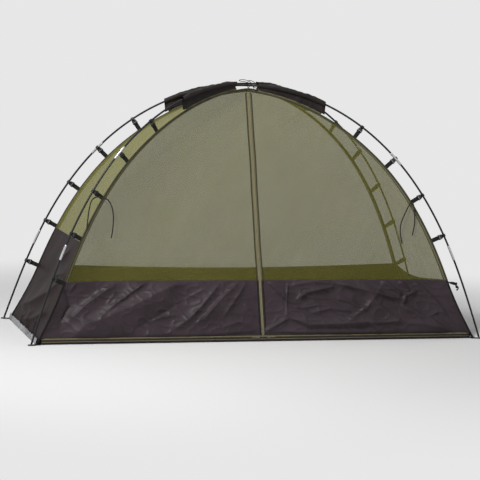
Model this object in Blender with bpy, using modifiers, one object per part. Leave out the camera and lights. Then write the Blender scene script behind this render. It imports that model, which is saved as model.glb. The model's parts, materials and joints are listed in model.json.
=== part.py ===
"""One-person mosquito net tent on two crossed, shock-corded poles.

The frame: +X runs along the tent's length, -Y is the front with the door, +Z is up, and the
origin lies on the ground under the crossing of the poles. Pole A runs from the front left
corner to the rear right one and passes over pole B, from the rear left to the front right.
Each pole stands in its own upright diagonal plane, bent between its two corners, and the
canopy hangs under it from a seam in the same plane.
"""

import math

import bmesh
import bpy
import numpy as np
from mathutils import Matrix, Vector

# Clearances
GAP = 0.0003
PANEL_GAP = 0.0010
HINGE_CLEARANCE = 0.0005

# Floor
FLOOR_LENGTH = 2.10
FLOOR_WIDTH = 0.75
FLOOR_THICKNESS = 0.003
WALL_HEIGHT = 0.272
LEFT_WALL_HEIGHT = 0.45
SILL_HEIGHT = 0.020

# Cloth
NET_THICKNESS = 0.002
WALL_THICKNESS = 0.002
BACK_WALL_SAG = 0.020
FOLD_HEIGHT = 0.007
FOLD_WIDTH = 0.16
END_NET_SAG = 0.012
FACE_CURVE = 1.5
TOP_EASE = 6
NET_ROWS = 14
WALL_ROWS = 6
REAR_COLUMNS = 13
END_COLUMNS = 5
DOOR_ROWS = 6
DOOR_COLUMNS = 19
MARGIN_ROWS = 15
MARGIN_COLUMNS = 4

# Poles
POLE_RADIUS = 0.0045
BORE_RADIUS = 0.0025
CORD_RADIUS = 0.0020
MIDDLE_SECTION = 0.525
END_SECTION = 0.4475
MIDDLE_SECTIONS = 5
FERRULE_RADIUS = 0.0057
FERRULE_BONDED = 0.020
FERRULE_SOCKET = 0.052
FOOT_OUTSET = 0.030
FOOT_HEIGHT = 0.0013
TIP_RADIUS = 0.003
CORD_STOP = 0.012
POLE_SIDES = 8
SECTION_STEPS = 6
ARC_SAMPLES = 1201

# Arch seams, where two cloth panels and their binding meet
SEAM_RADIUS = 0.0045
APEX_DROP = 0.026
SEAM_DROP = 0.064
FOOT_DROP = 0.0265
SEAM_BLEND = 0.70
PANEL_TOP = 0.030
SQUARE_CLEAR = SEAM_RADIUS + GAP
SLANT_CLEAR = SQUARE_CLEAR + max(NET_THICKNESS, WALL_THICKNESS) / 2

# Sleeves
SLEEVE_START = 0.055
SLEEVE_END = 0.375
SLEEVE_CLOTH = 0.001
SLEEVE_EASE = 0.0012
SLEEVE_ROUND_STEPS = 8

# Clips and their webbing straps
FIRST_CLIP = 0.584
CLIP_SPACING = 0.2175
CLIPS_PER_HALF = 5
WEBBING_WIDTH = 0.020
WEBBING_THICKNESS = 0.003
EYE_WALL = 0.0015
BAR_WIDTH = 0.004
CHEEK_WIDTH = 0.0027
CROSSPIECE_WIDTH = 0.0033
HOOK_RADIUS = 0.0063
HOOK_WALL = 0.0026
HOOK_WIDTH = 0.012
HOOK_REACH = 0.024
STEM_WIDTH = 0.006
HOOK_LIP_ANGLE = math.radians(15)
FREE_STRAP_ANGLE = math.radians(-11)
FREE_STRAP_LENGTH = 0.042
ARC_STEPS = 8

# Corner tabs
TAB_THICKNESS = 0.0025
TAB_WIDTH = 0.025
TAB_INSET = 0.012
TAB_END = 0.015
EYELET_RADIUS = 0.008
EYELET_HEIGHT = 0.006
EYELET_SIDES = 16

# Doors and zips
HEM_RADIUS = 0.0025
ZIP_GAP = 0.0026
ZIP_WIDTH = 0.012
ZIP_THICKNESS = 0.005
LEAF_TOP = 0.030
MARGIN_START = 0.032
SLIDER_LENGTH = 0.014
SLIDER_WIDTH = 0.008
SLIDER_PLATE = 0.002
SLIDER_REST = 0.045
SIDE_SLIDER_REST = 0.026
PULL_LENGTH = 0.022
PULL_WIDTH = 0.005
PULL_THICKNESS = 0.0015

# Cords and tapes
TIE_RADIUS = 0.0015
TAPE_RADIUS = 0.0018
SPACING_SHARE = 2.8

HALF_POLE = MIDDLE_SECTIONS / 2 * MIDDLE_SECTION + END_SECTION
CORNER_REACH = math.hypot(FLOOR_LENGTH, FLOOR_WIDTH) / 2
FOOT_REACH = CORNER_REACH + FOOT_OUTSET
CLIP_STATIONS = [FIRST_CLIP + index * CLIP_SPACING for index in range(CLIPS_PER_HALF)]
TIE_CLIP = 2

COLOURS = {
    "pole": ((0.030, 0.030, 0.032, 1.0), 0.30, 0.0),
    "shock_cord": ((0.045, 0.045, 0.045, 1.0), 0.85, 0.0),
    "clip": ((0.020, 0.020, 0.022, 1.0), 0.45, 0.0),
    "net": ((0.262, 0.262, 0.107, 1.0), 0.90, 0.0),
    "coated_cloth": ((0.030, 0.022, 0.026, 1.0), 0.50, 0.0),
    "seam": ((0.090, 0.085, 0.055, 1.0), 0.85, 0.0),
    "sleeve": ((0.028, 0.024, 0.026, 1.0), 0.60, 0.0),
    "zip": ((0.155, 0.140, 0.098, 1.0), 0.55, 0.0),
    "tape": ((0.035, 0.032, 0.028, 1.0), 0.85, 0.0),
}


def clear_scene():
    for item in list(bpy.data.objects):
        bpy.data.objects.remove(item, do_unlink=True)


def new_collection(name):
    collection = bpy.data.collections.new(name)
    bpy.context.scene.collection.children.link(collection)
    return collection


clear_scene()
PARTS = new_collection("mosquito_net_tent")
CUTTERS = new_collection("cutters")


def cloth_or_plastic(name, kind):
    """One node's own Principled material in the colour of its kind."""
    colour, roughness, metallic = COLOURS[kind]
    material = bpy.data.materials.new(name)
    material.use_nodes = True
    shader = material.node_tree.nodes["Principled BSDF"]
    shader.inputs["Base Color"].default_value = colour
    shader.inputs["Roughness"].default_value = roughness
    shader.inputs["Metallic"].default_value = metallic
    material.diffuse_color = colour
    return material


def add_part(name, mesh, kind):
    part = bpy.data.objects.new(name, mesh)
    PARTS.objects.link(part)
    if not mesh.materials:
        mesh.materials.append(cloth_or_plastic(kind, kind))
    part.material_slots[0].link = "OBJECT"
    part.material_slots[0].material = cloth_or_plastic(name, kind)
    return part


def add_cutter(name, mesh, collection=None):
    cutter = bpy.data.objects.new(name, mesh)
    (collection or CUTTERS).objects.link(cutter)
    cutter.hide_render = True
    cutter.display_type = "WIRE"
    return cutter


def put_origin_at(part, origin):
    """Moves an object's origin to a point on its joint's axis, with its shape left in place."""
    part.data.transform(Matrix.Translation(-origin))
    part.matrix_world = Matrix.Translation(origin)


def smooth_round_faces(mesh, angle=math.radians(40)):
    mesh.shade_smooth()
    mesh.set_sharp_from_angle(angle=angle)


def closed_mesh(name, points, faces):
    """A mesh from lofted rings or rows, with its faces turned outwards."""
    shape = bmesh.new()
    corners = [shape.verts.new(point) for point in points]
    for face in faces:
        shape.faces.new([corners[index] for index in face])
    bmesh.ops.recalc_face_normals(shape, faces=shape.faces)
    mesh = bpy.data.meshes.new(name)
    shape.to_mesh(mesh)
    shape.free()
    return mesh


def mesh_of(item, name):
    """The evaluated mesh of an object, with loose caps welded, and the object taken away."""
    depsgraph = bpy.context.evaluated_depsgraph_get()
    mesh = bpy.data.meshes.new_from_object(item.evaluated_get(depsgraph))
    mesh.name = name
    mesh.transform(item.matrix_world)
    shape = bmesh.new()
    shape.from_mesh(mesh)
    bmesh.ops.remove_doubles(shape, verts=shape.verts, dist=GAP / 30)
    bmesh.ops.recalc_face_normals(shape, faces=shape.faces)
    shape.to_mesh(mesh)
    shape.free()
    mesh.materials.clear()
    bpy.data.objects.remove(item, do_unlink=True)
    return mesh


def tube_mesh(name, points, radius, resolution):
    """A round tube through the points, closed at both ends."""
    curve = bpy.data.curves.new(name, "CURVE")
    curve.dimensions = "3D"
    curve.bevel_depth = radius
    curve.bevel_resolution = resolution
    curve.use_fill_caps = True
    spline = curve.splines.new("POLY")
    spline.points.add(len(points) - 1)
    for control, point in zip(spline.points, points):
        control.co = (*point, 1.0)
    item = bpy.data.objects.new(name, curve)
    CUTTERS.objects.link(item)
    bpy.context.view_layer.update()
    return mesh_of(item, name)


def outline_mesh(name, outlines, thickness):
    """A flat plate in the XY plane, half its thickness to each side, with holes if given."""
    curve = bpy.data.curves.new(name, "CURVE")
    curve.dimensions = "2D"
    curve.fill_mode = "BOTH"
    curve.extrude = thickness / 2
    for outline in outlines:
        spline = curve.splines.new("POLY")
        spline.points.add(len(outline) - 1)
        for control, (across, up) in zip(spline.points, outline):
            control.co = (across, up, 0.0, 1.0)
        spline.use_cyclic_u = True
    item = bpy.data.objects.new(name, curve)
    CUTTERS.objects.link(item)
    bpy.context.view_layer.update()
    return mesh_of(item, name)


def arc(centre, radius, start, end, steps):
    """Points along a circle's arc in the plane of an outline."""
    angles = np.linspace(start, end, steps + 1)
    return [(centre[0] + radius * math.cos(a), centre[1] + radius * math.sin(a)) for a in angles]


def frame_matrix(origin, along, across, axis):
    """The matrix that carries X to along, Y to across and Z to axis, at the origin point."""
    matrix = Matrix((along, across, axis)).transposed().to_4x4()
    matrix.translation = origin
    return matrix


def combine(target, operation, operand):
    """A live Boolean between the target and one object or a whole collection."""
    modifier = target.modifiers.new(operation.lower(), "BOOLEAN")
    modifier.operation = operation
    modifier.solver = "EXACT"
    if isinstance(operand, bpy.types.Collection):
        modifier.operand_type = "COLLECTION"
        modifier.collection = operand
    else:
        modifier.object = operand
    return modifier


def cloth_sheet(name, rows, thickness, kind):
    """A sheet of cloth over rows of points, as thick to one side as to the other."""
    columns = len(rows[0])
    points = [point for row in rows for point in row]
    faces = []
    for row in range(len(rows) - 1):
        for column in range(columns - 1):
            corner = row * columns + column
            faces.append((corner, corner + 1, corner + columns + 1, corner + columns))
    sheet = add_part(name, closed_mesh(name, points, faces), kind)
    solidify = sheet.modifiers.new("cloth", "SOLIDIFY")
    solidify.thickness = thickness
    solidify.offset = 0.0
    solidify.use_even_offset = True
    return sheet


def bent_rod():
    """Slope at the feet, and reach and height along half a pole, from its crossing outwards.

    A rod bent between two held ends slopes in step with a sine of the distance along it. The
    slope at the feet is found by halving, so that the foot comes to rest at its corner.
    """
    shares = np.linspace(0.0, 1.0, ARC_SAMPLES)
    step = HALF_POLE / (ARC_SAMPLES - 1)
    low, high = 0.0, math.pi
    for _ in range(60):
        foot_slope = (low + high) / 2
        slopes = foot_slope * np.sin(math.pi / 2 * shares)
        across = np.cos(slopes)
        reach = np.concatenate(([0.0], np.cumsum((across[1:] + across[:-1]) / 2))) * step
        if reach[-1] > FOOT_REACH:
            low = foot_slope
        else:
            high = foot_slope
    down = np.sin(slopes)
    fall = np.concatenate(([0.0], np.cumsum((down[1:] + down[:-1]) / 2))) * step
    return foot_slope, reach, fall[-1] - fall + FOOT_HEIGHT


FOOT_SLOPE, ARC_REACH, ARC_HEIGHT = bent_rod()
ARC_TOP = ARC_HEIGHT[0]
HALF_CROSSING = max(POLE_RADIUS, SEAM_RADIUS) + GAP / 2


def section_ends():
    """Distances from the crossing at which the sections of a pole meet."""
    inner = [(index - MIDDLE_SECTIONS / 2) * MIDDLE_SECTION for index in range(MIDDLE_SECTIONS + 1)]
    return [-HALF_POLE] + inner + [HALF_POLE]


SECTION_ENDS = section_ends()
STATIONS = sorted({
    round(float(station), 9)
    for start, end in zip(SECTION_ENDS[:-1], SECTION_ENDS[1:])
    for station in np.linspace(start, end, SECTION_STEPS + 1)
} | {0.0})


def seam_drop(distance):
    """How far the seam hangs under the pole's centre line."""
    rise = math.sin(math.pi / 2 * min(1.0, distance / SEAM_BLEND))
    drop = APEX_DROP + (SEAM_DROP - APEX_DROP) * rise
    last_clip = CLIP_STATIONS[-1]
    if distance > last_clip:
        share = (distance - last_clip) / (HALF_POLE - last_clip)
        drop -= (SEAM_DROP - FOOT_DROP) * (1.0 - math.cos(math.pi / 2 * share))
    return drop


class Arch:
    """One pole's upright plane. Distances run along the pole, positive towards +X."""

    def __init__(self, slant, crossing_side):
        self.out = Vector((FLOOR_LENGTH / 2, slant * FLOOR_WIDTH / 2, 0.0)).normalized()
        self.side = Vector((-self.out.y, self.out.x, 0.0))
        self.rise = 1.0 + crossing_side * HALF_CROSSING / ARC_TOP
        self.station_points = [self.smooth_point(station) for station in STATIONS]

    def smooth_point(self, distance):
        share = abs(distance) / HALF_POLE * (ARC_SAMPLES - 1)
        samples = np.arange(ARC_SAMPLES)
        reach = math.copysign(float(np.interp(share, samples, ARC_REACH)), distance)
        height = float(np.interp(share, samples, ARC_HEIGHT)) * self.rise
        return self.out * reach + Vector((0.0, 0.0, height))

    def point(self, distance):
        """A point on the pole's centre line, straight between the stations."""
        return Vector([
            float(np.interp(distance, STATIONS, [point[axis] for point in self.station_points]))
            for axis in range(3)
        ])

    def slope(self, distance):
        return FOOT_SLOPE * math.sin(math.pi / 2 * distance / HALF_POLE)

    def along(self, distance):
        slope = self.slope(distance)
        return self.out * math.cos(slope) - Vector((0.0, 0.0, math.sin(slope)))

    def outward(self, distance):
        slope = self.slope(distance)
        return self.out * math.sin(slope) + Vector((0.0, 0.0, math.cos(slope)))

    def seam(self, distance):
        return self.point(distance) - self.outward(distance) * seam_drop(abs(distance))

    def seam_station(self, height, sign):
        """The distance at which the seam passes a height, on one half of the pole."""
        low, high = 0.0, HALF_POLE
        for _ in range(50):
            middle = (low + high) / 2
            if self.seam(sign * middle).z > height:
                low = middle
            else:
                high = middle
        return sign * (low + high) / 2


ARCH_A = Arch(1.0, 1.0)
ARCH_B = Arch(-1.0, -1.0)
HALVES = {
    "front_left": (ARCH_A, -1.0),
    "rear_right": (ARCH_A, 1.0),
    "rear_left": (ARCH_B, -1.0),
    "front_right": (ARCH_B, 1.0),
}
SEAM_FOOT_HEIGHT = TAB_THICKNESS
SEAM_FOOT = abs(ARCH_A.seam_station(SEAM_FOOT_HEIGHT, 1.0))
BASE_CORNER = ARCH_A.seam(SEAM_FOOT)
SEAM_TOP = ARCH_B.seam(0.0).z


def ring_points(arch, distance, radius, sides):
    """A ring round the pole's centre line, square to it."""
    centre = arch.point(distance)
    outward = arch.outward(distance)
    angles = [2 * math.pi * step / sides for step in range(sides)]
    return [centre + radius * (math.cos(angle) * outward + math.sin(angle) * arch.side) for angle in angles]


def turned_along_pole(name, arch, profile, sides, kind):
    """A turned piece bent along the pole, from a closed profile of distances and radii."""
    points = [point for distance, radius in profile for point in ring_points(arch, distance, radius, sides)]
    faces = []
    rings = len(profile)
    for ring in range(rings):
        following = (ring + 1) % rings
        for step in range(sides):
            beside = (step + 1) % sides
            faces.append((
                ring * sides + step, ring * sides + beside,
                following * sides + beside, following * sides + step,
            ))
    mesh = closed_mesh(name, points, faces)
    smooth_round_faces(mesh)
    return add_part(name, mesh, kind)


def stations_between(start, end):
    return [station for station in STATIONS if start + GAP < station < end - GAP]


def wall_run(start, end, radius):
    """A straight-sided stretch of a profile, with a ring at every station it passes."""
    low, high = min(start, end), max(start, end)
    inner = [(station, radius) for station in stations_between(low, high)]
    if end < start:
        inner.reverse()
    return [(start, radius)] + inner + [(end, radius)]


def middle_section_profile(start, end, socket_ends):
    """A tube with a ferrule bonded on each end named, from its outside round to its bore."""
    outside = []
    bore = []
    left = start
    right = end
    if "left" in socket_ends:
        ferrule_in = start + FERRULE_BONDED
        ferrule_out = start - FERRULE_SOCKET
        outside += wall_run(ferrule_out, ferrule_in, FERRULE_RADIUS)
        bore += [(start, POLE_RADIUS + GAP), (ferrule_out, POLE_RADIUS + GAP)]
        left = ferrule_in
    if "right" in socket_ends:
        ferrule_in = end - FERRULE_BONDED
        right = ferrule_in
    outside += wall_run(left, right, POLE_RADIUS)
    inside = wall_run(end, start, BORE_RADIUS)
    if "right" in socket_ends:
        ferrule_out = end + FERRULE_SOCKET
        outside += wall_run(ferrule_in, ferrule_out, FERRULE_RADIUS)
        inside = [(ferrule_out, POLE_RADIUS + GAP), (end, POLE_RADIUS + GAP)] + inside
    return outside + inside + bore


def tip_length():
    """The foot's pin, long enough to pass the eyelet and leave the pole's shoulder on it."""
    lean = math.pi / 2 - FOOT_SLOPE
    shoulder_sag = POLE_RADIUS * math.sin(lean)
    return (EYELET_HEIGHT + GAP + shoulder_sag - FOOT_HEIGHT) / math.cos(lean)


def end_section_profile(start):
    """The last section, from its open inner end to the pin at the foot, on the positive half."""
    shoulder = HALF_POLE - tip_length()
    bore_end = shoulder - CORD_STOP
    outside = wall_run(start, shoulder, POLE_RADIUS)
    pin = [(shoulder, TIP_RADIUS), (HALF_POLE, TIP_RADIUS)]
    return outside, pin, wall_run(bore_end, start, BORE_RADIUS)


def end_section(name, arch, sign, start):
    """A tube closed at the foot, with a disc across the pin and one across the bore's end."""
    outside, pin, bore = end_section_profile(start)
    profile = outside + pin + bore
    rings = [ring_points(arch, sign * distance, radius, POLE_SIDES) for distance, radius in profile]
    points = [point for ring in rings for point in ring]
    faces = []
    pin_end = len(outside) + len(pin) - 1
    for ring in range(len(rings)):
        if ring == pin_end:
            continue
        following = (ring + 1) % len(rings)
        for step in range(POLE_SIDES):
            beside = (step + 1) % POLE_SIDES
            faces.append((
                ring * POLE_SIDES + step, ring * POLE_SIDES + beside,
                following * POLE_SIDES + beside, following * POLE_SIDES + step,
            ))
    for ring in (pin_end, pin_end + 1):
        faces.append([ring * POLE_SIDES + step for step in range(POLE_SIDES)])
    mesh = closed_mesh(name, points, faces)
    smooth_round_faces(mesh)
    return add_part(name, mesh, "pole")


def pole(letter, arch):
    """Seven sections, each slid into the ferrule of the one nearer the crossing, and a cord."""
    count = len(SECTION_ENDS) - 1
    for index in range(count):
        start, end = SECTION_ENDS[index], SECTION_ENDS[index + 1]
        name = f"pole_{letter}_section_{index + 1}"
        if index == 0:
            end_section(name, arch, -1.0, -end + GAP)
        elif index == count - 1:
            end_section(name, arch, 1.0, start + GAP)
        else:
            centre = (count - 1) / 2
            sockets = [side for side, here in (("left", index <= centre), ("right", index >= centre)) if here]
            left = start + (0.0 if "left" in sockets else GAP)
            right = end - (0.0 if "right" in sockets else GAP)
            profile = middle_section_profile(left, right, sockets)
            turned_along_pole(name, arch, profile, POLE_SIDES, "pole")
    cord_end = HALF_POLE - tip_length() - CORD_STOP - GAP
    points = [arch.point(distance) for distance, _ in wall_run(-cord_end, cord_end, CORD_RADIUS)]
    mesh = tube_mesh(f"pole_{letter}_shock_cord", points, CORD_RADIUS, 1)
    add_part(f"pole_{letter}_shock_cord", mesh, "shock_cord")


def sleeve(name, arch, sign):
    """Cloth folded round the pole, its two edges standing on the seam."""
    loop_radius = FERRULE_RADIUS + SLEEVE_EASE + SLEEVE_CLOTH / 2
    spread = SLEEVE_CLOTH
    neck = math.asin(spread / loop_radius)
    stations = [SLEEVE_START] + stations_between(SLEEVE_START, SLEEVE_END) + [SLEEVE_END]
    rows = []
    for station in stations:
        distance = sign * station
        foot = seam_drop(station) - SEAM_RADIUS - 2 * GAP
        around = [
            (loop_radius * math.cos(angle), loop_radius * math.sin(angle))
            for angle in np.linspace(math.pi - neck, neck - math.pi, SLEEVE_ROUND_STEPS + 1)
        ]
        path = [(-foot, spread)] + around + [(-foot, -spread)]
        centre = arch.point(distance)
        outward = arch.outward(distance)
        rows.append([centre + up * outward + across * arch.side for up, across in path])
    return cloth_sheet(name, rows, SLEEVE_CLOTH, "sleeve")


def bar_clearance():
    """Radius of the webbing's eye: it clears the corners of the hook's square bar."""
    return BAR_WIDTH / math.sqrt(2) + HINGE_CLEARANCE


def eye_radius():
    return bar_clearance() + EYE_WALL


def strap_mesh(name, length):
    """Doubled webbing, this long, up to an eye round the hook's bar, seen edge on."""
    outer = eye_radius()
    half = WEBBING_THICKNESS / 2
    meet = math.asin(half / outer)
    outline = [(-length, -half)]
    outline += arc((0.0, 0.0), outer, meet - math.pi, math.pi - meet, ARC_STEPS)
    outline += [(-length, half)]
    hole = arc((0.0, 0.0), bar_clearance() / math.cos(math.pi / ARC_STEPS), 0.0, 2 * math.pi, ARC_STEPS)
    return outline_mesh(name, [outline, hole[:-1]], WEBBING_WIDTH)


def hook_mesh():
    """A plastic hook: a bar between two cheeks, a crosspiece, a stem and an open hook."""
    slot_end = eye_radius() + HINGE_CLEARANCE
    plate_end = slot_end + CROSSPIECE_WIDTH
    half_slot = WEBBING_WIDTH / 2 + GAP
    half_plate = half_slot + CHEEK_WIDTH
    bar = BAR_WIDTH / 2
    plate = [(-bar, -half_plate), (plate_end, -half_plate), (plate_end, half_plate), (-bar, half_plate)]
    slot = [(bar, -half_slot), (slot_end, -half_slot), (slot_end, half_slot), (bar, half_slot)]
    plate_mesh = outline_mesh("hook_plate", [plate, slot], BAR_WIDTH)
    plate_mesh.transform(Matrix.Rotation(math.pi / 2, 4, "X"))

    outer = HOOK_RADIUS + HOOK_WALL
    half_stem = STEM_WIDTH / 2
    centre = (HOOK_REACH, 0.0)
    stem_start = slot_end + CROSSPIECE_WIDTH / 2
    shoulder = math.pi - math.asin(half_stem / outer)
    outline = arc(centre, HOOK_RADIUS, -HOOK_LIP_ANGLE, math.pi, ARC_STEPS)
    outline += [(HOOK_REACH - HOOK_RADIUS, -half_stem), (stem_start, -half_stem), (stem_start, half_stem)]
    outline += arc(centre, outer, shoulder, -HOOK_LIP_ANGLE, ARC_STEPS)
    open_hook = add_cutter("open_hook", outline_mesh("open_hook", [outline], HOOK_WIDTH))
    whole = add_cutter("hook", plate_mesh)
    combine(whole, "UNION", open_hook)
    bpy.context.view_layer.update()
    mesh = mesh_of(whole, "clip_hook")
    bpy.data.objects.remove(open_hook, do_unlink=True)
    smooth_round_faces(mesh)
    return mesh


def centre_of_volume(mesh):
    """The centre of a closed mesh's volume, summed over its triangles."""
    shape = bmesh.new()
    shape.from_mesh(mesh)
    bmesh.ops.triangulate(shape, faces=shape.faces)
    total = 0.0
    moment = Vector((0.0, 0.0, 0.0))
    for face in shape.faces:
        first, second, third = (corner.co for corner in face.verts)
        volume = first.dot(second.cross(third)) / 6
        total += volume
        moment += (first + second + third) / 4 * volume
    shape.free()
    return moment / total


def pole_radius_at(distance):
    """The pole's outer radius at a distance, thicker where a ferrule lies over it."""
    for end in SECTION_ENDS[1:-1]:
        away = abs(distance) - abs(end)
        if -FERRULE_BONDED <= away <= FERRULE_SOCKET:
            return FERRULE_RADIUS
    return POLE_RADIUS


def end_side(arch, sign):
    """The level direction square to the pole's plane that points to the near end of the tent."""
    return arch.side * math.copysign(1.0, arch.side.x * sign)


def clip_frames():
    """For each clip its name, arch, pivot frames of strap and hook, and strap length."""
    frames = []
    for half, (arch, sign) in HALVES.items():
        for index, station in enumerate(CLIP_STATIONS):
            distance = sign * station
            name = f"clip_{half}_{index + 1}"
            free = half == "front_right" and index == CLIPS_PER_HALF - 1
            if free:
                seam_point = arch.seam(distance)
                along = arch.out * (sign * math.cos(FREE_STRAP_ANGLE))
                along += Vector((0.0, 0.0, math.sin(FREE_STRAP_ANGLE)))
                pivot = seam_point + FREE_STRAP_LENGTH * along
                axis = -end_side(arch, sign)
                strap = frame_matrix(pivot, along, axis.cross(along), axis)
                lean = math.atan2(HOOK_BALANCE.y, HOOK_BALANCE.x)
                down = Vector((0.0, 0.0, -1.0))
                hang = Matrix.Rotation(-lean, 3, axis) @ down
                hook = frame_matrix(pivot, hang, axis.cross(hang), axis)
                frames.append((name, arch, strap, hook, FREE_STRAP_LENGTH - SEAM_RADIUS / 2))
                continue
            outward = arch.outward(distance)
            swing = end_side(arch, sign)
            hook_centre = pole_radius_at(distance) + GAP - HOOK_RADIUS
            pivot = arch.point(distance) + (hook_centre - HOOK_REACH) * outward
            matrix = frame_matrix(pivot, outward, swing, outward.cross(swing))
            length = seam_drop(station) + hook_centre - HOOK_REACH
            frames.append((name, arch, matrix, matrix, length))
    return frames


def corner_tab(arch, sign, label, strips, holes):
    """Webbing from the seam's foot to an eyelet, with a hole along the pole's own lean."""
    inner = BASE_CORNER.to_2d().length - TAB_INSET
    outer = FOOT_REACH + TAB_END
    half = TAB_WIDTH / 2
    outline = [(inner, -half), (outer - half, -half)]
    outline += arc((outer - half, 0.0), half, -math.pi / 2, math.pi / 2, ARC_STEPS)[1:-1]
    outline += [(outer - half, half), (inner, half)]
    mesh = outline_mesh(f"tab_{label}", [outline], TAB_THICKNESS)
    out = arch.out * sign
    up = Vector((0.0, 0.0, 1.0))
    matrix = frame_matrix(up * (TAB_THICKNESS / 2), out, up.cross(out), up)
    mesh.transform(matrix)
    add_cutter(f"tab_{label}", mesh, strips)

    height = EYELET_HEIGHT - TAB_THICKNESS / 2
    eyelet = bmesh.new()
    bmesh.ops.create_cone(
        eyelet, cap_ends=True, segments=EYELET_SIDES, radius1=EYELET_RADIUS, radius2=EYELET_RADIUS, depth=height,
    )
    ring = bpy.data.meshes.new(f"eyelet_{label}")
    eyelet.to_mesh(ring)
    eyelet.free()
    hole_centre = arch.point(sign * (HALF_POLE - tip_length() / 2))
    ring.transform(Matrix.Translation((hole_centre.x, hole_centre.y, EYELET_HEIGHT - height / 2)))
    add_cutter(f"eyelet_{label}", ring, strips)

    drill = bmesh.new()
    radius = TIP_RADIUS + GAP
    bmesh.ops.create_cone(
        drill, cap_ends=True, segments=POLE_SIDES, radius1=radius, radius2=radius, depth=4 * EYELET_HEIGHT,
    )
    bore = bpy.data.meshes.new(f"eyelet_hole_{label}")
    drill.to_mesh(bore)
    drill.free()
    distance = sign * HALF_POLE
    axis = arch.along(distance)
    outward = arch.outward(distance)
    bore.transform(frame_matrix(hole_centre, outward, axis.cross(outward), axis))
    add_cutter(f"eyelet_hole_{label}", bore, holes)


def arch_seam(letter, arch, halves, frames):
    """The binding over the canopy from foot to foot, with its straps and corner tabs sewn on."""
    strips = bpy.data.collections.new(f"seam_{letter}_straps")
    holes = bpy.data.collections.new(f"seam_{letter}_holes")
    CUTTERS.children.link(strips)
    CUTTERS.children.link(holes)
    for name, clip_arch, strap, _, length in frames:
        if clip_arch is arch:
            mesh = strap_mesh(f"strap_{name}", length)
            mesh.transform(strap)
            add_cutter(f"strap_{name}", mesh, strips)
    for label, sign in halves:
        corner_tab(arch, sign, label, strips, holes)
    points = [arch.seam(distance) for distance, _ in wall_run(-SEAM_FOOT, SEAM_FOOT, SEAM_RADIUS)]
    name = f"arch_seam_{letter}"
    seam = add_part(name, tube_mesh(name, points, SEAM_RADIUS, 1), "seam")
    combine(seam, "UNION", strips)
    combine(seam, "DIFFERENCE", holes)
    return seam


def beside_seam(arch, distance, ruling, distance_off):
    """A point next to the seam, a clear distance off it, along a panel's own cross line."""
    step = SEAM_FOOT / 200
    along = (arch.seam(distance + step) - arch.seam(distance - step)).normalized()
    slant = ruling.cross(along).length
    return arch.seam(distance) + ruling * (distance_off / slant)


def panel_stations(arch, sign, low, high, rows):
    """Stations along a seam half, evenly spaced between two stations."""
    return [float(station) * sign for station in np.linspace(abs(low), abs(high), rows)]


def end_panel_rows(sign, low_height, high_height, rows, columns, clear, sag):
    """Rows of an end panel, between the front seam and the rear seam of one end."""
    front_arch = ARCH_A if sign < 0 else ARCH_B
    rear_arch = ARCH_B if sign < 0 else ARCH_A
    lines = []
    front = stations_of(front_arch, sign, low_height, high_height, rows)
    rear = stations_of(rear_arch, sign, low_height, high_height, rows)
    for index in range(rows):
        start = beside_seam(front_arch, front[index], Vector((0.0, 1.0, 0.0)), clear)
        end = beside_seam(rear_arch, rear[index], Vector((0.0, -1.0, 0.0)), clear)
        line = []
        for column in range(columns):
            share = column / (columns - 1)
            inward = sag * math.sin(math.pi * share) * math.sin(math.pi * index / (rows - 1))
            point = start.lerp(end, share)
            point.x -= sign * inward
            line.append(point)
        lines.append(line)
    return lines


def stations_of(arch, sign, low_height, high_height, rows):
    low = arch.seam_station(low_height, sign)
    high = sign * PANEL_TOP if high_height is None else arch.seam_station(high_height, sign)
    return panel_stations(arch, sign, low, high, rows)


def face_line_depth(height):
    """How far the middle of the front and rear faces lies from the ridge, at a height."""
    return BASE_CORNER.y * (SEAM_TOP - height) / (SEAM_TOP - BASE_CORNER.z)


def rear_panel_rows(low_height, high_height, rows, columns, clear, sag_low, sag_high):
    """Rows of the rear face, drawn in at the middle, between the two rear seams."""
    left = stations_of(ARCH_B, -1.0, low_height, high_height, rows)
    right = stations_of(ARCH_A, 1.0, low_height, high_height, rows)
    lines = []
    for index in range(rows):
        start = beside_seam(ARCH_B, left[index], Vector((1.0, 0.0, 0.0)), clear)
        end = beside_seam(ARCH_A, right[index], Vector((-1.0, 0.0, 0.0)), clear)
        rise = index / (rows - 1)
        sag = sag_low + (sag_high - sag_low) * rise
        line = []
        for column in range(columns):
            share = column / (columns - 1)
            point = start.lerp(end, share)
            middle = math.sin(math.pi * share)
            point.z -= sag * middle
            off_centre = abs(2 * share - 1) ** FACE_CURVE
            drawn_in = max(0.0, point.y - face_line_depth(point.z))
            point.y -= drawn_in * (1 - off_centre) * (1 - rise ** TOP_EASE)
            line.append(point)
        lines.append(line)
    return lines


def fold(across, up):
    """Depth of the slanting folds in the dark cloth, still along its edges."""
    window = math.sin(math.pi * min(1.0, max(0.0, up)))
    wave = math.sin(2 * math.pi * (across / FOLD_WIDTH + up / 2))
    return FOLD_HEIGHT * window * wave


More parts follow.
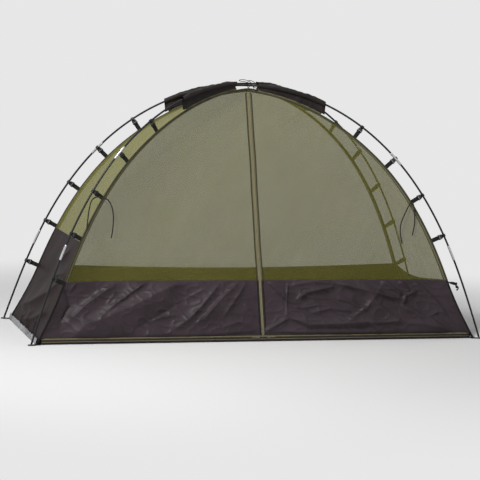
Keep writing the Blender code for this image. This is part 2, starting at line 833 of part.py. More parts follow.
def groundsheet():
    """The floor with its corners cut for the tabs, and the turned-up sill with its zip half."""
    half_length = FLOOR_LENGTH / 2
    half_width = FLOOR_WIDTH / 2
    inset = CORNER_REACH - BASE_CORNER.to_2d().length + TAB_INSET + GAP
    cut_across = inset / ARCH_A.out.x
    cut_up = inset / ARCH_A.out.y
    outline = []
    for x_sign, y_sign in ((-1, -1), (1, -1), (1, 1), (-1, 1)):
        near_end = (x_sign * half_length, y_sign * (half_width - cut_up))
        near_side = (x_sign * (half_length - cut_across), y_sign * half_width)
        outline += [near_end, near_side] if x_sign * y_sign > 0 else [near_side, near_end]
    mesh = outline_mesh("groundsheet", [outline], FLOOR_THICKNESS)
    mesh.transform(Matrix.Translation((0.0, 0.0, FLOOR_THICKNESS / 2)))
    floor = add_part("groundsheet", mesh, "coated_cloth")
    sill_pieces = bpy.data.collections.new("sill")
    CUTTERS.children.link(sill_pieces)
    reach = BASE_CORNER.x - (TAB_INSET + ZIP_THICKNESS) / ARCH_A.out.x
    flap = [(-reach, 0.0), (reach, 0.0), (reach, SILL_HEIGHT), (-reach, SILL_HEIGHT)]
    low = SILL_HEIGHT - ZIP_WIDTH
    strip = [(-reach, low), (reach, low), (reach, SILL_HEIGHT), (-reach, SILL_HEIGHT)]
    for name, shape, thickness in (("sill_flap", flap, WALL_THICKNESS), ("sill_zip", strip, ZIP_THICKNESS)):
        piece = outline_mesh(name, [shape], thickness)
        piece.transform(FRONT_FACE)
        add_cutter(name, piece, sill_pieces)
    combine(floor, "UNION", sill_pieces)
    return floor


def front_face_matrix():
    """Carries an outline drawn in x and up-slope distance onto the front face, front side out."""
    base = Vector((0.0, -BASE_CORNER.y, BASE_CORNER.z))
    top = Vector((0.0, 0.0, SEAM_TOP))
    up = (top - base).normalized()
    across = Vector((1.0, 0.0, 0.0))
    return frame_matrix(base, across, up, across.cross(up))


FRONT_FACE = front_face_matrix()
FRONT_SLANT = math.hypot(BASE_CORNER.y, SEAM_TOP - BASE_CORNER.z)
UP_FRONT = FRONT_FACE.col[1].to_3d()
LEAF_BOTTOM = SILL_HEIGHT + ZIP_GAP
SPLIT_LEVEL = (WALL_HEIGHT - BASE_CORNER.z) / (SEAM_TOP - BASE_CORNER.z) * FRONT_SLANT


def hinge_x(level):
    """How far from the middle the hinge line lies, at a level up the front face."""
    return BASE_CORNER.x * (1 - level / FRONT_SLANT)


def on_front(across, level, out=0.0):
    return FRONT_FACE @ Vector((across, level, out))


def hinge_foot(sign):
    """The lower end of a leaf's hinge line, at the front corner of the floor."""
    return Vector((sign * BASE_CORNER.x, -BASE_CORNER.y, BASE_CORNER.z))


def hem_mesh(name, sign, low, high):
    """The round hem along a leaf's hinge line."""
    points = [on_front(sign * hinge_x(level), level) for level in (low, high)]
    return tube_mesh(name, points, HEM_RADIUS, 2)


def zip_strip_mesh(name, sign, corners):
    """A raised zip half on a leaf, from its outline's corners on the right-hand side."""
    mesh = outline_mesh(name, [[(sign * across, level) for across, level in corners]], ZIP_THICKNESS)
    mesh.transform(FRONT_FACE)
    return mesh


def door_net(side, sign):
    """The leaf's net: a flat triangle of net with its hem and its half of the centre zip."""
    low = SPLIT_LEVEL + GAP / 2
    high = FRONT_SLANT - LEAF_TOP
    edge = ZIP_GAP / 2
    outline = [(edge, low), (hinge_x(low), low), (hinge_x(high), high), (edge, high)]
    name = f"door_{side}_net"
    mesh = outline_mesh(name, [[(sign * across, level) for across, level in outline]], NET_THICKNESS)
    mesh.transform(FRONT_FACE)
    leaf = add_part(name, mesh, "net")
    pieces = bpy.data.collections.new(f"{name}_edges")
    CUTTERS.children.link(pieces)
    hem_low = low + 2 * HEM_RADIUS
    hem_high = high - HEM_RADIUS
    add_cutter(f"{name}_hem", hem_mesh(f"{name}_hem", sign, hem_low, hem_high), pieces)
    inner = edge + ZIP_WIDTH
    strip = [(edge, low), (inner, low), (inner, high), (edge, high)]
    add_cutter(f"{name}_zip", zip_strip_mesh(f"{name}_zip", sign, strip), pieces)
    combine(leaf, "UNION", pieces)
    put_origin_at(leaf, hinge_foot(sign))
    return leaf


def door_wall(side, sign):
    """The leaf's dark lower wall with its folds, hem and the halves of two zips."""
    low = LEAF_BOTTOM
    high = SPLIT_LEVEL - GAP / 2
    edge = ZIP_GAP / 2
    rows = []
    for row in range(DOOR_ROWS):
        up = row / (DOOR_ROWS - 1)
        level = low + (high - low) * up
        reach = hinge_x(level)
        line = []
        for column in range(DOOR_COLUMNS):
            share = column / (DOOR_COLUMNS - 1)
            across = edge + (reach - edge) * share
            still = math.sqrt(math.sin(math.pi * share))
            line.append(on_front(sign * across, level, still * fold(across, up)))
        rows.append(line)
    name = f"door_{side}_wall"
    leaf = cloth_sheet(name, rows, WALL_THICKNESS, "coated_cloth")
    pieces = bpy.data.collections.new(f"{name}_edges")
    CUTTERS.children.link(pieces)
    hem_low = low + 2 * HEM_RADIUS
    hem_high = high - 2 * HEM_RADIUS
    add_cutter(f"{name}_hem", hem_mesh(f"{name}_hem", sign, hem_low, hem_high), pieces)
    inner = edge + ZIP_WIDTH
    outer = hinge_x(low + ZIP_WIDTH) - 2 * HEM_RADIUS
    strip = [
        (edge, low), (outer, low), (outer, low + ZIP_WIDTH), (inner, low + ZIP_WIDTH), (inner, high), (edge, high),
    ]
    add_cutter(f"{name}_zip", zip_strip_mesh(f"{name}_zip", sign, strip), pieces)
    combine(leaf, "UNION", pieces)
    put_origin_at(leaf, hinge_foot(sign))
    return leaf


def front_margin(side, arch, sign):
    """The still part of the front net, in the pole's plane between the leaf's hem and the seam."""
    low_hinge = (MARGIN_START - BASE_CORNER.z) / (SEAM_TOP - BASE_CORNER.z)
    low_seam = abs(arch.seam_station(MARGIN_START, sign))
    high_hinge = 1 - 2 * LEAF_TOP / FRONT_SLANT
    high_seam = 4 * PANEL_TOP
    out = arch.out * sign
    hinge_rise = Vector((0.0, 0.0, SEAM_TOP - BASE_CORNER.z)) - out * BASE_CORNER.to_2d().length
    hinge_up = hinge_rise.normalized()
    hinge_out = Vector((0.0, 0.0, 1.0)) - hinge_up * hinge_up.z
    hinge_out.normalize()
    lines = []
    for row in range(MARGIN_ROWS):
        share = row / (MARGIN_ROWS - 1)
        hinge_share = low_hinge + (high_hinge - low_hinge) * share
        foot = out * BASE_CORNER.to_2d().length + Vector((0.0, 0.0, BASE_CORNER.z))
        start = foot + hinge_rise * hinge_share + hinge_out * (HEM_RADIUS + GAP)
        station = sign * (low_seam + (high_seam - low_seam) * share)
        end = arch.seam(station) - arch.outward(station) * (SEAM_RADIUS + 2 * GAP)
        lines.append([start.lerp(end, column / (MARGIN_COLUMNS - 1)) for column in range(MARGIN_COLUMNS)])
    return cloth_sheet(f"door_{side}_margin", lines, NET_THICKNESS, "net")


def slider_mesh(name, pull_way):
    """A slider that grips one zip half: a post in the gap, two plates and a pull.

    It is drawn with the zip half running along Y on the -X side of the gap, and with the pull
    towards +Y or -Y, as the sign of its way says.
    """
    post = ZIP_GAP / 2 - GAP
    half_length = SLIDER_LENGTH / 2
    face = ZIP_THICKNESS / 2 + GAP
    back = face + SLIDER_PLATE
    section = [
        (post, -back), (post, back), (-SLIDER_WIDTH, back), (-SLIDER_WIDTH, face),
        (-post, face), (-post, -face), (-SLIDER_WIDTH, -face), (-SLIDER_WIDTH, -back),
    ]
    body_mesh = outline_mesh(name, [section], SLIDER_LENGTH)
    body_mesh.transform(Matrix.Rotation(math.pi / 2, 4, "X"))
    body = add_cutter(name, body_mesh)
    middle = -SLIDER_WIDTH / 2
    half_pull = PULL_WIDTH / 2
    pull_end = pull_way * (half_length + PULL_LENGTH)
    shape = [
        (middle - half_pull, 0.0), (middle + half_pull, 0.0),
        (middle + half_pull, pull_end), (middle - half_pull, pull_end),
    ]
    pull_mesh = outline_mesh(f"{name}_pull", [shape], PULL_THICKNESS)
    pull_mesh.transform(Matrix.Translation((0.0, 0.0, back + PULL_THICKNESS / 3)))
    pull_item = add_cutter(f"{name}_pull", pull_mesh)
    combine(body, "UNION", pull_item)
    bpy.context.view_layer.update()
    mesh = mesh_of(body, name)
    bpy.data.objects.remove(pull_item, do_unlink=True)
    return mesh


def sliders():
    """One slider up the centre zip and one along each side of the bottom zip."""
    centre = add_part("slider_centre", slider_mesh("slider_centre", -1.0), "zip")
    centre.matrix_world = FRONT_FACE @ Matrix.Translation((0.0, SLIDER_REST, 0.0))
    level = SILL_HEIGHT + ZIP_GAP / 2
    normal = FRONT_FACE.col[2].to_3d()
    for side, sign in (("left", -1.0), ("right", 1.0)):
        slider = add_part(f"slider_{side}", slider_mesh(f"slider_{side}", -sign), "zip")
        start = on_front(sign * SIDE_SLIDER_REST, level)
        slider.matrix_world = frame_matrix(start, UP_FRONT, normal.cross(UP_FRONT), normal)


def smooth_route(points, spacing):
    """Points spaced evenly along a smooth curve through the hand-chosen points of a cord."""
    count = len(points)
    samples = []
    for index in range(count - 1):
        before = points[max(index - 1, 0)]
        start, end = points[index], points[index + 1]
        after = points[min(index + 2, count - 1)]
        for share in np.linspace(0.0, 1.0, 21)[:-1]:
            square, cube = share ** 2, share ** 3
            samples.append(
                start * (2 - 5 * square + 3 * cube) / 2
                + end * (share + 4 * square - 3 * cube) / 2
                + before * (2 * square - share - cube) / 2
                + after * (cube - square) / 2
            )
    samples.append(points[-1])
    lengths = np.concatenate(([0.0], np.cumsum([(b - a).length for a, b in zip(samples, samples[1:])])))
    steps = max(2, int(round(lengths[-1] / spacing)))
    wanted = np.linspace(0.0, lengths[-1], steps + 1)
    table = np.array(samples)
    return [Vector([float(np.interp(at, lengths, table[:, axis])) for axis in range(3)]) for at in wanted]


# The cord tied in a bow round the crossing, from the crossing's own centre.
APEX_TIE_ROUTE = [
    (0.022, -0.034, -0.030), (0.017, -0.030, -0.014), (0.010, -0.022, 0.002), (0.004, -0.012, 0.013),
    (-0.008, -0.004, 0.019), (-0.024, 0.000, 0.022), (-0.040, -0.003, 0.021), (-0.050, -0.012, 0.017),
    (-0.041, -0.020, 0.014), (-0.024, -0.020, 0.013), (-0.010, -0.018, 0.008), (-0.003, -0.016, -0.002),
    (0.000, -0.012, -0.011), (0.000, -0.004, -0.0148), (0.000, 0.004, -0.0148), (0.000, 0.012, -0.011),
    (0.000, 0.016, 0.000), (0.001, 0.011, 0.013), (0.004, 0.001, 0.0185), (0.012, -0.010, 0.018),
    (0.024, -0.020, 0.010), (0.033, -0.030, -0.004), (0.030, -0.038, -0.016), (0.016, -0.038, -0.010),
    (0.004, -0.028, 0.001), (-0.004, -0.026, -0.012), (-0.008, -0.028, -0.028),
]

# The tapes that tie back the door, from where they touch the seam at the third clip: outward
# in the pole's plane, towards the front, and up.
LEFT_TAPE_ROUTE = [
    (-0.036, 0.0125, -0.178), (-0.042, 0.0125, -0.152), (-0.046, 0.0125, -0.087), (-0.036, 0.0115, -0.036),
    (-0.018, 0.0065, -0.006), (0.000, 0.0, 0.000), (0.022, 0.0020, 0.008), (0.048, 0.0035, 0.006),
    (0.068, 0.0035, -0.012), (0.079, 0.0025, -0.061), (0.086, 0.0025, -0.127),
]
RIGHT_TAPE_ROUTE = [
    (-0.034, 0.0115, -0.196), (-0.045, 0.0125, -0.147), (-0.043, 0.0125, -0.098), (-0.022, 0.0085, -0.042),
    (-0.008, 0.0035, -0.012), (0.000, 0.0, 0.000), (0.011, 0.0020, -0.008), (0.016, 0.0035, -0.034),
    (0.021, 0.0045, -0.095), (0.013, 0.0045, -0.156),
]


def ties():
    """The bow at the crossing and one tape, sewn on at its middle, for each door leaf."""
    crossing = Vector((0.0, 0.0, ARC_TOP))
    route = [crossing + Vector(point) for point in APEX_TIE_ROUTE]
    spacing = 2 * TIE_RADIUS * SPACING_SHARE
    add_part("apex_tie", tube_mesh("apex_tie", smooth_route(route, spacing), TIE_RADIUS, 2), "tape")
    tapes = (("left", LEFT_TAPE_ROUTE, "front_left"), ("right", RIGHT_TAPE_ROUTE, "front_right"))
    for side, local_route, half in tapes:
        arch, sign = HALVES[half]
        front = -end_side(arch, sign)
        start = arch.seam(sign * CLIP_STATIONS[TIE_CLIP]) + front * (SEAM_RADIUS + TAPE_RADIUS + GAP)
        route = [
            start + arch.out * (sign * outward) + front * forward + Vector((0.0, 0.0, up))
            for outward, forward, up in local_route
        ]
        name = f"tie_tape_{side}"
        spacing = 2 * TAPE_RADIUS * SPACING_SHARE
        add_part(name, tube_mesh(name, smooth_route(route, spacing), TAPE_RADIUS, 2), "tape")


def wall_rear_and_right(low_height, high_height):
    """One length of dark cloth along the rear and on round the inside of the rear right seam."""
    lines = rear_panel_rows(low_height, high_height, WALL_ROWS, REAR_COLUMNS, SLANT_CLEAR, 0.0, BACK_WALL_SAG)
    end_lines = end_panel_rows(1.0, low_height, high_height, WALL_ROWS, END_COLUMNS, SLANT_CLEAR, 0.0)
    for line, end_line in zip(lines, end_lines):
        end_line.reverse()
        corner = Vector((line[-1].x, end_line[0].y, end_line[0].z))
        line += [corner] + end_line
    return cloth_sheet("wall_rear_and_right", lines, WALL_THICKNESS, "coated_cloth")


def fixed_cloth():
    """The nets and dark walls of the rear and the two ends."""
    low = FLOOR_THICKNESS + GAP + WALL_THICKNESS / 2
    under_left_net = LEFT_WALL_HEIGHT - PANEL_GAP / 2
    over_left_wall = LEFT_WALL_HEIGHT + PANEL_GAP / 2
    under_net = WALL_HEIGHT - PANEL_GAP / 2
    over_wall = WALL_HEIGHT + PANEL_GAP / 2
    net_left = end_panel_rows(-1.0, over_left_wall, None, NET_ROWS, END_COLUMNS, SQUARE_CLEAR, END_NET_SAG)
    cloth_sheet("net_left", net_left, NET_THICKNESS, "net")
    net_right = end_panel_rows(1.0, over_wall, None, NET_ROWS, END_COLUMNS, SQUARE_CLEAR, END_NET_SAG)
    cloth_sheet("net_right", net_right, NET_THICKNESS, "net")
    net_rear = rear_panel_rows(over_wall, None, NET_ROWS, REAR_COLUMNS, SLANT_CLEAR, BACK_WALL_SAG, 0.0)
    cloth_sheet("net_rear", net_rear, NET_THICKNESS, "net")
    wall_left = end_panel_rows(-1.0, low, under_left_net, WALL_ROWS, END_COLUMNS, SLANT_CLEAR, END_NET_SAG / 2)
    cloth_sheet("wall_left", wall_left, WALL_THICKNESS, "coated_cloth")
    wall_rear_and_right(low, under_net)


def main():
    frames = clip_frames()
    pole("a", ARCH_A)
    pole("b", ARCH_B)
    for half, (arch, sign) in HALVES.items():
        sleeve(f"sleeve_{half}", arch, sign)
    arch_seam("a", ARCH_A, (("front_left", -1.0), ("rear_right", 1.0)), frames)
    arch_seam("b", ARCH_B, (("rear_left", -1.0), ("front_right", 1.0)), frames)
    for name, _, _, hook, _ in frames:
        clip = add_part(name, HOOK, "clip")
        clip.matrix_world = hook
    groundsheet()
    fixed_cloth()
    door_net("left", -1.0)
    door_net("right", 1.0)
    door_wall("left", -1.0)
    door_wall("right", 1.0)
    front_margin("left", *HALVES["front_left"])
    front_margin("right", *HALVES["front_right"])
    sliders()
    ties()


HOOK = hook_mesh()
HOOK_BALANCE = centre_of_volume(HOOK)
main()
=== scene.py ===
# %% [markdown]
# # A mosquito net tent, dressed over its CAD model
#
# The CAD model already says where every rod, seam, strap and panel is. This lesson gives those
# pieces the surfaces of the real ones: see-through olive net, creased coated cloth, glossy rods,
# silver ferrules, webbing, tape and zips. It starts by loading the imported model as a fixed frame.

# %% Load the frame
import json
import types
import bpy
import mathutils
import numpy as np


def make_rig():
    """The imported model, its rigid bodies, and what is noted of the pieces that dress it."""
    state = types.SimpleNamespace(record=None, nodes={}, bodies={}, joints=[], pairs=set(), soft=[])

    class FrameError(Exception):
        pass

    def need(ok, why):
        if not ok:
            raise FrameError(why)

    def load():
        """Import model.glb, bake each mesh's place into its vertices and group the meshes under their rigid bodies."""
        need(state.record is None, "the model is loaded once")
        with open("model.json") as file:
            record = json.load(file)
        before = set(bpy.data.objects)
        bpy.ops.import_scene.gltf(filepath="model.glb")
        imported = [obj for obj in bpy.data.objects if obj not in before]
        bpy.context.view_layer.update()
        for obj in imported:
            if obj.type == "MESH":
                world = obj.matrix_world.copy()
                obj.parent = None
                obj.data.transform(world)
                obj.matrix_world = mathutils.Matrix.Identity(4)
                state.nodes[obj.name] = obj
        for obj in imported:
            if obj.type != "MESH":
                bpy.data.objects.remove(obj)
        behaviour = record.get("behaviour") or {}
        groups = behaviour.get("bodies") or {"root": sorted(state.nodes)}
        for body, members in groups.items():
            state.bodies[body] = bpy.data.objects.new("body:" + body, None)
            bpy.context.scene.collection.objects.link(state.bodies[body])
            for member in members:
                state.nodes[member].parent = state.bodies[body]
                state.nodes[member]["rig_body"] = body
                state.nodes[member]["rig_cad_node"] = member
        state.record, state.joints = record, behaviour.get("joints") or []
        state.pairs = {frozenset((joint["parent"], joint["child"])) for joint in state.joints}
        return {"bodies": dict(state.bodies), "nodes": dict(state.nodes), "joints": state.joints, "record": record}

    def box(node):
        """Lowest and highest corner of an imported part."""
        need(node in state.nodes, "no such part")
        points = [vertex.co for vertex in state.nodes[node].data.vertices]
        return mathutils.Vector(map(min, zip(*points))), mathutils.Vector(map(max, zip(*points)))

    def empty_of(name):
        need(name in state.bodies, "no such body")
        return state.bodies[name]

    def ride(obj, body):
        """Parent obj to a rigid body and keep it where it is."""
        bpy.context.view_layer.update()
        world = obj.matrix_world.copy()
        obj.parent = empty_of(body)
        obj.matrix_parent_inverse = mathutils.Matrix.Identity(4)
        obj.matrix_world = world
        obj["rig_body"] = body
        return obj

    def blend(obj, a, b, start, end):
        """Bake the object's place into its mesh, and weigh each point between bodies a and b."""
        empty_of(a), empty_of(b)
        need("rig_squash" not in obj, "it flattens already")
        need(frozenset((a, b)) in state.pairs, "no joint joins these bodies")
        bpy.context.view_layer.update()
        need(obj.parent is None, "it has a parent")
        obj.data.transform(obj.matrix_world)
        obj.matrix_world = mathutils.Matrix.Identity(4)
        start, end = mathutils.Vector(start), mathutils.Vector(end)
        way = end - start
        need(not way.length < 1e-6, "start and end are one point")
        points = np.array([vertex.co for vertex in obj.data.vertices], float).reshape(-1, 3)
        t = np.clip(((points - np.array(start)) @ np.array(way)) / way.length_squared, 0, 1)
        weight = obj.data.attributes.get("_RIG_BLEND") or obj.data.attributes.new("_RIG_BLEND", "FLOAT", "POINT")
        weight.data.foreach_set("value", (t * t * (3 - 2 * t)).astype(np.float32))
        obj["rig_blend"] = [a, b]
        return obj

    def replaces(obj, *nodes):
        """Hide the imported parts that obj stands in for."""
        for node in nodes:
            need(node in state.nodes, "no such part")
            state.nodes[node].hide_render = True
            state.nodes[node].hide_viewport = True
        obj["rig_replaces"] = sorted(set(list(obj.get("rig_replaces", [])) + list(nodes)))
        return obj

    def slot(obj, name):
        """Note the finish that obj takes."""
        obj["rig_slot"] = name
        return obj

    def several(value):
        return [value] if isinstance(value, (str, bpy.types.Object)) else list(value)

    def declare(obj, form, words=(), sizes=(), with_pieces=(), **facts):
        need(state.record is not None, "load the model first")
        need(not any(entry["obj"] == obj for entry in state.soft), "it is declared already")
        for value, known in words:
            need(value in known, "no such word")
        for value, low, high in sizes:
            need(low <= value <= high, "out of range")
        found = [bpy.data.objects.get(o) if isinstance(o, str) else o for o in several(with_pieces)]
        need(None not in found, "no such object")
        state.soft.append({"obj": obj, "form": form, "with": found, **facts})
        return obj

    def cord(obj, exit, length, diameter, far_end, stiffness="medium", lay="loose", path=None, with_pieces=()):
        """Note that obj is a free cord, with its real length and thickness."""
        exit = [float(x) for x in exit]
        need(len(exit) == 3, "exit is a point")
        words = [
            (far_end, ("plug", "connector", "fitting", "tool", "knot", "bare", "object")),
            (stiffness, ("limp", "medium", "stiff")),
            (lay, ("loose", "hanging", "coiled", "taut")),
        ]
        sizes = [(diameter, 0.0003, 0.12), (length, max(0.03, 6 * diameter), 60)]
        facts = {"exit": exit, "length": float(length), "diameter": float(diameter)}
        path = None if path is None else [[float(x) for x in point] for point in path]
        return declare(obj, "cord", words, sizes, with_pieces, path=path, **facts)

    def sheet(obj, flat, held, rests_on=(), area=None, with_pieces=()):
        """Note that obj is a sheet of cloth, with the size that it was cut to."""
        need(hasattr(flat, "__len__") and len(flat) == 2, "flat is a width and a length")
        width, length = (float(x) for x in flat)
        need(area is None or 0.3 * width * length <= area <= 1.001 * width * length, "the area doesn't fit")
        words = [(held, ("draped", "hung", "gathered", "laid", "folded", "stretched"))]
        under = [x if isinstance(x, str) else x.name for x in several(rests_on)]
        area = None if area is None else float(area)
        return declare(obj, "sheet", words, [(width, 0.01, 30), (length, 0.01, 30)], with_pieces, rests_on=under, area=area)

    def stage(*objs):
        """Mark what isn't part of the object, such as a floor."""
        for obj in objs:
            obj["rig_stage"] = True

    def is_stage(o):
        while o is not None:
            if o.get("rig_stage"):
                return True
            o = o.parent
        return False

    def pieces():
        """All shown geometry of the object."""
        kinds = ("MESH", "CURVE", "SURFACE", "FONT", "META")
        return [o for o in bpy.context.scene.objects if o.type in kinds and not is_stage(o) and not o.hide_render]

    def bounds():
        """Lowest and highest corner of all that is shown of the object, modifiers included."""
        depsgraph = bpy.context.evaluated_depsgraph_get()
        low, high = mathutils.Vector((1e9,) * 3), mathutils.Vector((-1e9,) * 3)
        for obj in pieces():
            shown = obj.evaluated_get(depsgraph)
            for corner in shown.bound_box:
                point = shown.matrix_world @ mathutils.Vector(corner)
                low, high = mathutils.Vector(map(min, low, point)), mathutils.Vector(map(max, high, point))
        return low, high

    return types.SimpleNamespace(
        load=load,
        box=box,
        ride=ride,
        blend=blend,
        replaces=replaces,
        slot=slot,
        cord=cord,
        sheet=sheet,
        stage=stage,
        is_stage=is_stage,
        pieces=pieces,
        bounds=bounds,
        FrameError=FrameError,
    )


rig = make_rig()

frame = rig.load()

# %% Libraries, and the CAD model's own box
import json

import bpy
import numpy as np
from mathutils import Matrix, Vector

CAD_BOX = [[float(value) for value in corner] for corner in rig.bounds()]
print("CAD box", CAD_BOX)

# %% [markdown]
# ## The camera
#
# A camera can be placed by eye or worked out. Here about 60 points of the photograph, on the
# poles, seams and floor corners, were matched with the same points of the CAD model, and the
# place, the turn and the focal length with the least error were taken. The lens is long: the
# picture was taken from about eight metres away.

# %% Place the camera
PICTURE, SENSOR = 480.0, 36.0
FOCAL_PIXELS = 1704.9
CAMERA_PLACE = Vector((-2.3756, -7.7498, 1.2990))
CAMERA_YAW_PITCH_ROLL = 0.29569, 0.10725, 0.034564


def placed(name, data):
    """A new object of the scene, at its origin."""
    item = bpy.data.objects.new(name, data)
    bpy.context.scene.collection.objects.link(item)
    return item


def camera_turn(yaw, pitch, roll):
    """Columns: the picture's right, its up, and the way back from the scene, after the roll."""
    ahead = Vector((np.sin(yaw) * np.cos(pitch), np.cos(yaw) * np.cos(pitch), -np.sin(pitch)))
    right = Vector((np.cos(yaw), -np.sin(yaw), 0.0))
    up = right.cross(ahead)
    rolled_right = right * np.cos(roll) + up * np.sin(roll)
    rolled_up = up * np.cos(roll) - right * np.sin(roll)
    return Matrix((rolled_right, rolled_up, -ahead)).transposed().to_4x4()


camera_data = bpy.data.cameras.new("camera")
camera_data.sensor_width = SENSOR
camera_data.lens = FOCAL_PIXELS / PICTURE * SENSOR
camera = placed("camera", camera_data)
camera.matrix_world = Matrix.Translation(CAMERA_PLACE) @ camera_turn(*CAMERA_YAW_PITCH_ROLL)
bpy.context.scene.camera = camera
print("lens", round(camera_data.lens, 1), "mm")

# %% [markdown]
# ## The curve of the poles
#
# Every other shape hangs from the poles, so their curve comes first. A rod bent between two held
# ends slopes in step with a sine of the distance along it. The slope at its feet is found by
# halving until the foot lands in its eyelet, just as the CAD source does it, so that the drawn
# rods run through the CAD model's own hooks.

# %% The tent's measures in metres, repeated from the CAD source
FLOOR_LENGTH, FLOOR_WIDTH = 2.10, 0.75
FLOOR_THICKNESS = 0.003
WALL_HEIGHT, LEFT_WALL_HEIGHT, SILL_HEIGHT = 0.272, 0.45, 0.020
MIDDLE_SECTION, END_SECTION, MIDDLE_SECTIONS = 0.525, 0.4475, 5
POLE_RADIUS, FERRULE_RADIUS = 0.0045, 0.0057
FERRULE_BONDED, FERRULE_SOCKET = 0.020, 0.052
FOOT_OUTSET, FOOT_HEIGHT, SEAM_FOOT_HEIGHT = 0.030, 0.0013, 0.0025
APEX_DROP, SEAM_DROP, FOOT_DROP, SEAM_BLEND = 0.026, 0.064, 0.0265, 0.70
GAP, SEAM_RADIUS = 0.0003, 0.0045
FIRST_CLIP, CLIP_SPACING, CLIPS_PER_HALF = 0.584, 0.2175, 5
HALF_POLE = MIDDLE_SECTIONS / 2 * MIDDLE_SECTION + END_SECTION
FOOT_REACH = np.hypot(FLOOR_LENGTH, FLOOR_WIDTH) / 2 + FOOT_OUTSET
CLIP_STATIONS = FIRST_CLIP + CLIP_SPACING * np.arange(CLIPS_PER_HALF)
UP = np.array([0.0, 0.0, 1.0])
ROD_SAMPLES, HALVINGS = 1201, 60


# %% Bend the rod
def unit(vectors):
    """Vectors divided by their own lengths."""
    return vectors / np.linalg.norm(vectors, axis=-1, keepdims=True)


def running_sum(values, step):
    """Distance so far: the mean of each pair of neighbours, times the step, added up."""
    return np.concatenate(([0.0], np.cumsum((values[1:] + values[:-1]) / 2))) * step


def bent_rod():
    """Slope = foot slope * sin(90 degrees * share). Reach sums its cosine and fall its sine."""
    shares = np.linspace(0.0, 1.0, ROD_SAMPLES)
    step = HALF_POLE / (ROD_SAMPLES - 1)
    low, high = 0.0, np.pi
    for _ in range(HALVINGS):
        foot_slope = (low + high) / 2
        slopes = foot_slope * np.sin(np.pi / 2 * shares)
        reach = running_sum(np.cos(slopes), step)
        low, high = (foot_slope, high) if reach[-1] > FOOT_REACH else (low, foot_slope)
    fall = running_sum(np.sin(slopes), step)
    return foot_slope, reach, fall[-1] - fall + FOOT_HEIGHT


FOOT_SLOPE, ROD_REACH, ROD_HEIGHT = bent_rod()
ARC_TOP = ROD_HEIGHT[0]
HALF_CROSSING = POLE_RADIUS + GAP / 2
print("crossing at", round(float(ARC_TOP), 4), "m, foot slope", round(float(np.degrees(FOOT_SLOPE)), 1))


# %% One pole's upright plane
def seam_drop(distance):
    """Drop: a quarter sine from the apex drop to the full drop, eased off to the foot."""
    away = np.abs(distance)
    rise = np.sin(np.pi / 2 * np.minimum(1.0, away / SEAM_BLEND))
    drop = APEX_DROP + (SEAM_DROP - APEX_DROP) * rise
    share = np.clip((away - CLIP_STATIONS[-1]) / (HALF_POLE - CLIP_STATIONS[-1]), 0.0, 1.0)
    return drop - (SEAM_DROP - FOOT_DROP) * (1.0 - np.cos(np.pi / 2 * share))


class Arch:
    """A pole and the seam under it. Distances run along the pole, positive towards +X."""

    def __init__(self, letter, slant, crossing_side):
        self.letter = letter
        self.out = unit(np.array([FLOOR_LENGTH, slant * FLOOR_WIDTH, 0.0]))
        self.side = np.array([-self.out[1], self.out[0], 0.0])
        self.rise = 1.0 + crossing_side * HALF_CROSSING / ARC_TOP

    def point(self, distance):
        """Where the rod's middle is: its reach and its height, read off the bent rod."""
        distance = np.asarray(distance, float)
        share = np.abs(distance) / HALF_POLE * (ROD_SAMPLES - 1)
        samples = np.arange(ROD_SAMPLES)
        reach = np.sign(distance) * np.interp(share, samples, ROD_REACH)
        height = np.interp(share, samples, ROD_HEIGHT) * self.rise
        return reach[..., None] * self.out + height[..., None] * UP

    def outward(self, distance):
        """Square to the rod and away from the tent: sine and cosine of the slope there."""
        slope = FOOT_SLOPE * np.sin(np.pi / 2 * np.asarray(distance, float) / HALF_POLE)
        return np.sin(slope)[..., None] * self.out + np.cos(slope)[..., None] * UP

    def seam(self, distance):
        """The rod's point, let down square to the rod by the seam's drop."""
        distance = np.asarray(distance, float)
        return self.point(distance) - self.outward(distance) * seam_drop(distance)[..., None]

    def seam_station(self, height, sign):
        """The distance at which the seam passes a height, read off a table of the half seam."""
        table = np.linspace(0.0, HALF_POLE, ROD_SAMPLES)
        heights = self.seam(sign * table)[:, 2]
        return sign * np.interp(-height, -heights, table)


ARCH_A, ARCH_B = Arch("a", 1.0, 1.0), Arch("b", -1.0, -1.0)
HALVES = {
    "front_left": (ARCH_A, -1.0), "rear_right": (ARCH_A, 1.0),
    "rear_left": (ARCH_B, -1.0), "front_right": (ARCH_B, 1.0),
}
SIDES = {"left": -1.0, "right": 1.0}
BOTH_SEAMS = ["arch_seam_a", "arch_seam_b"]
FRONT_SEAM = {"left": "arch_seam_a", "right": "arch_seam_b"}
SEAM_FOOT = float(ARCH_A.seam_station(SEAM_FOOT_HEIGHT, 1.0))
CORNER = ARCH_A.seam(SEAM_FOOT)
SEAM_TOP = float(ARCH_B.seam(0.0)[2])
FACE_HEIGHT = SEAM_TOP - CORNER[2]
print("floor corner", CORNER.round(4), "seam top", round(SEAM_TOP, 4))

# %% [markdown]
# ## Helpers for surfaces
#
# Each new piece is a grid of points: a function of two parameters, or a profile carried along a
# path. The grid becomes quads, and the distances along its rows and columns become the UV map
# in metres, so that a weave keeps its real size on every piece.


# %% From a grid of points to a mesh
def lengths_along(points, axis):
    """Distance travelled so far along one direction of the grid."""
    steps = np.linalg.norm(np.diff(points, axis=axis), axis=-1)
    zero = np.zeros_like(np.take(steps, [0], axis=axis))
    return np.concatenate((zero, np.cumsum(steps, axis=axis)), axis=axis)


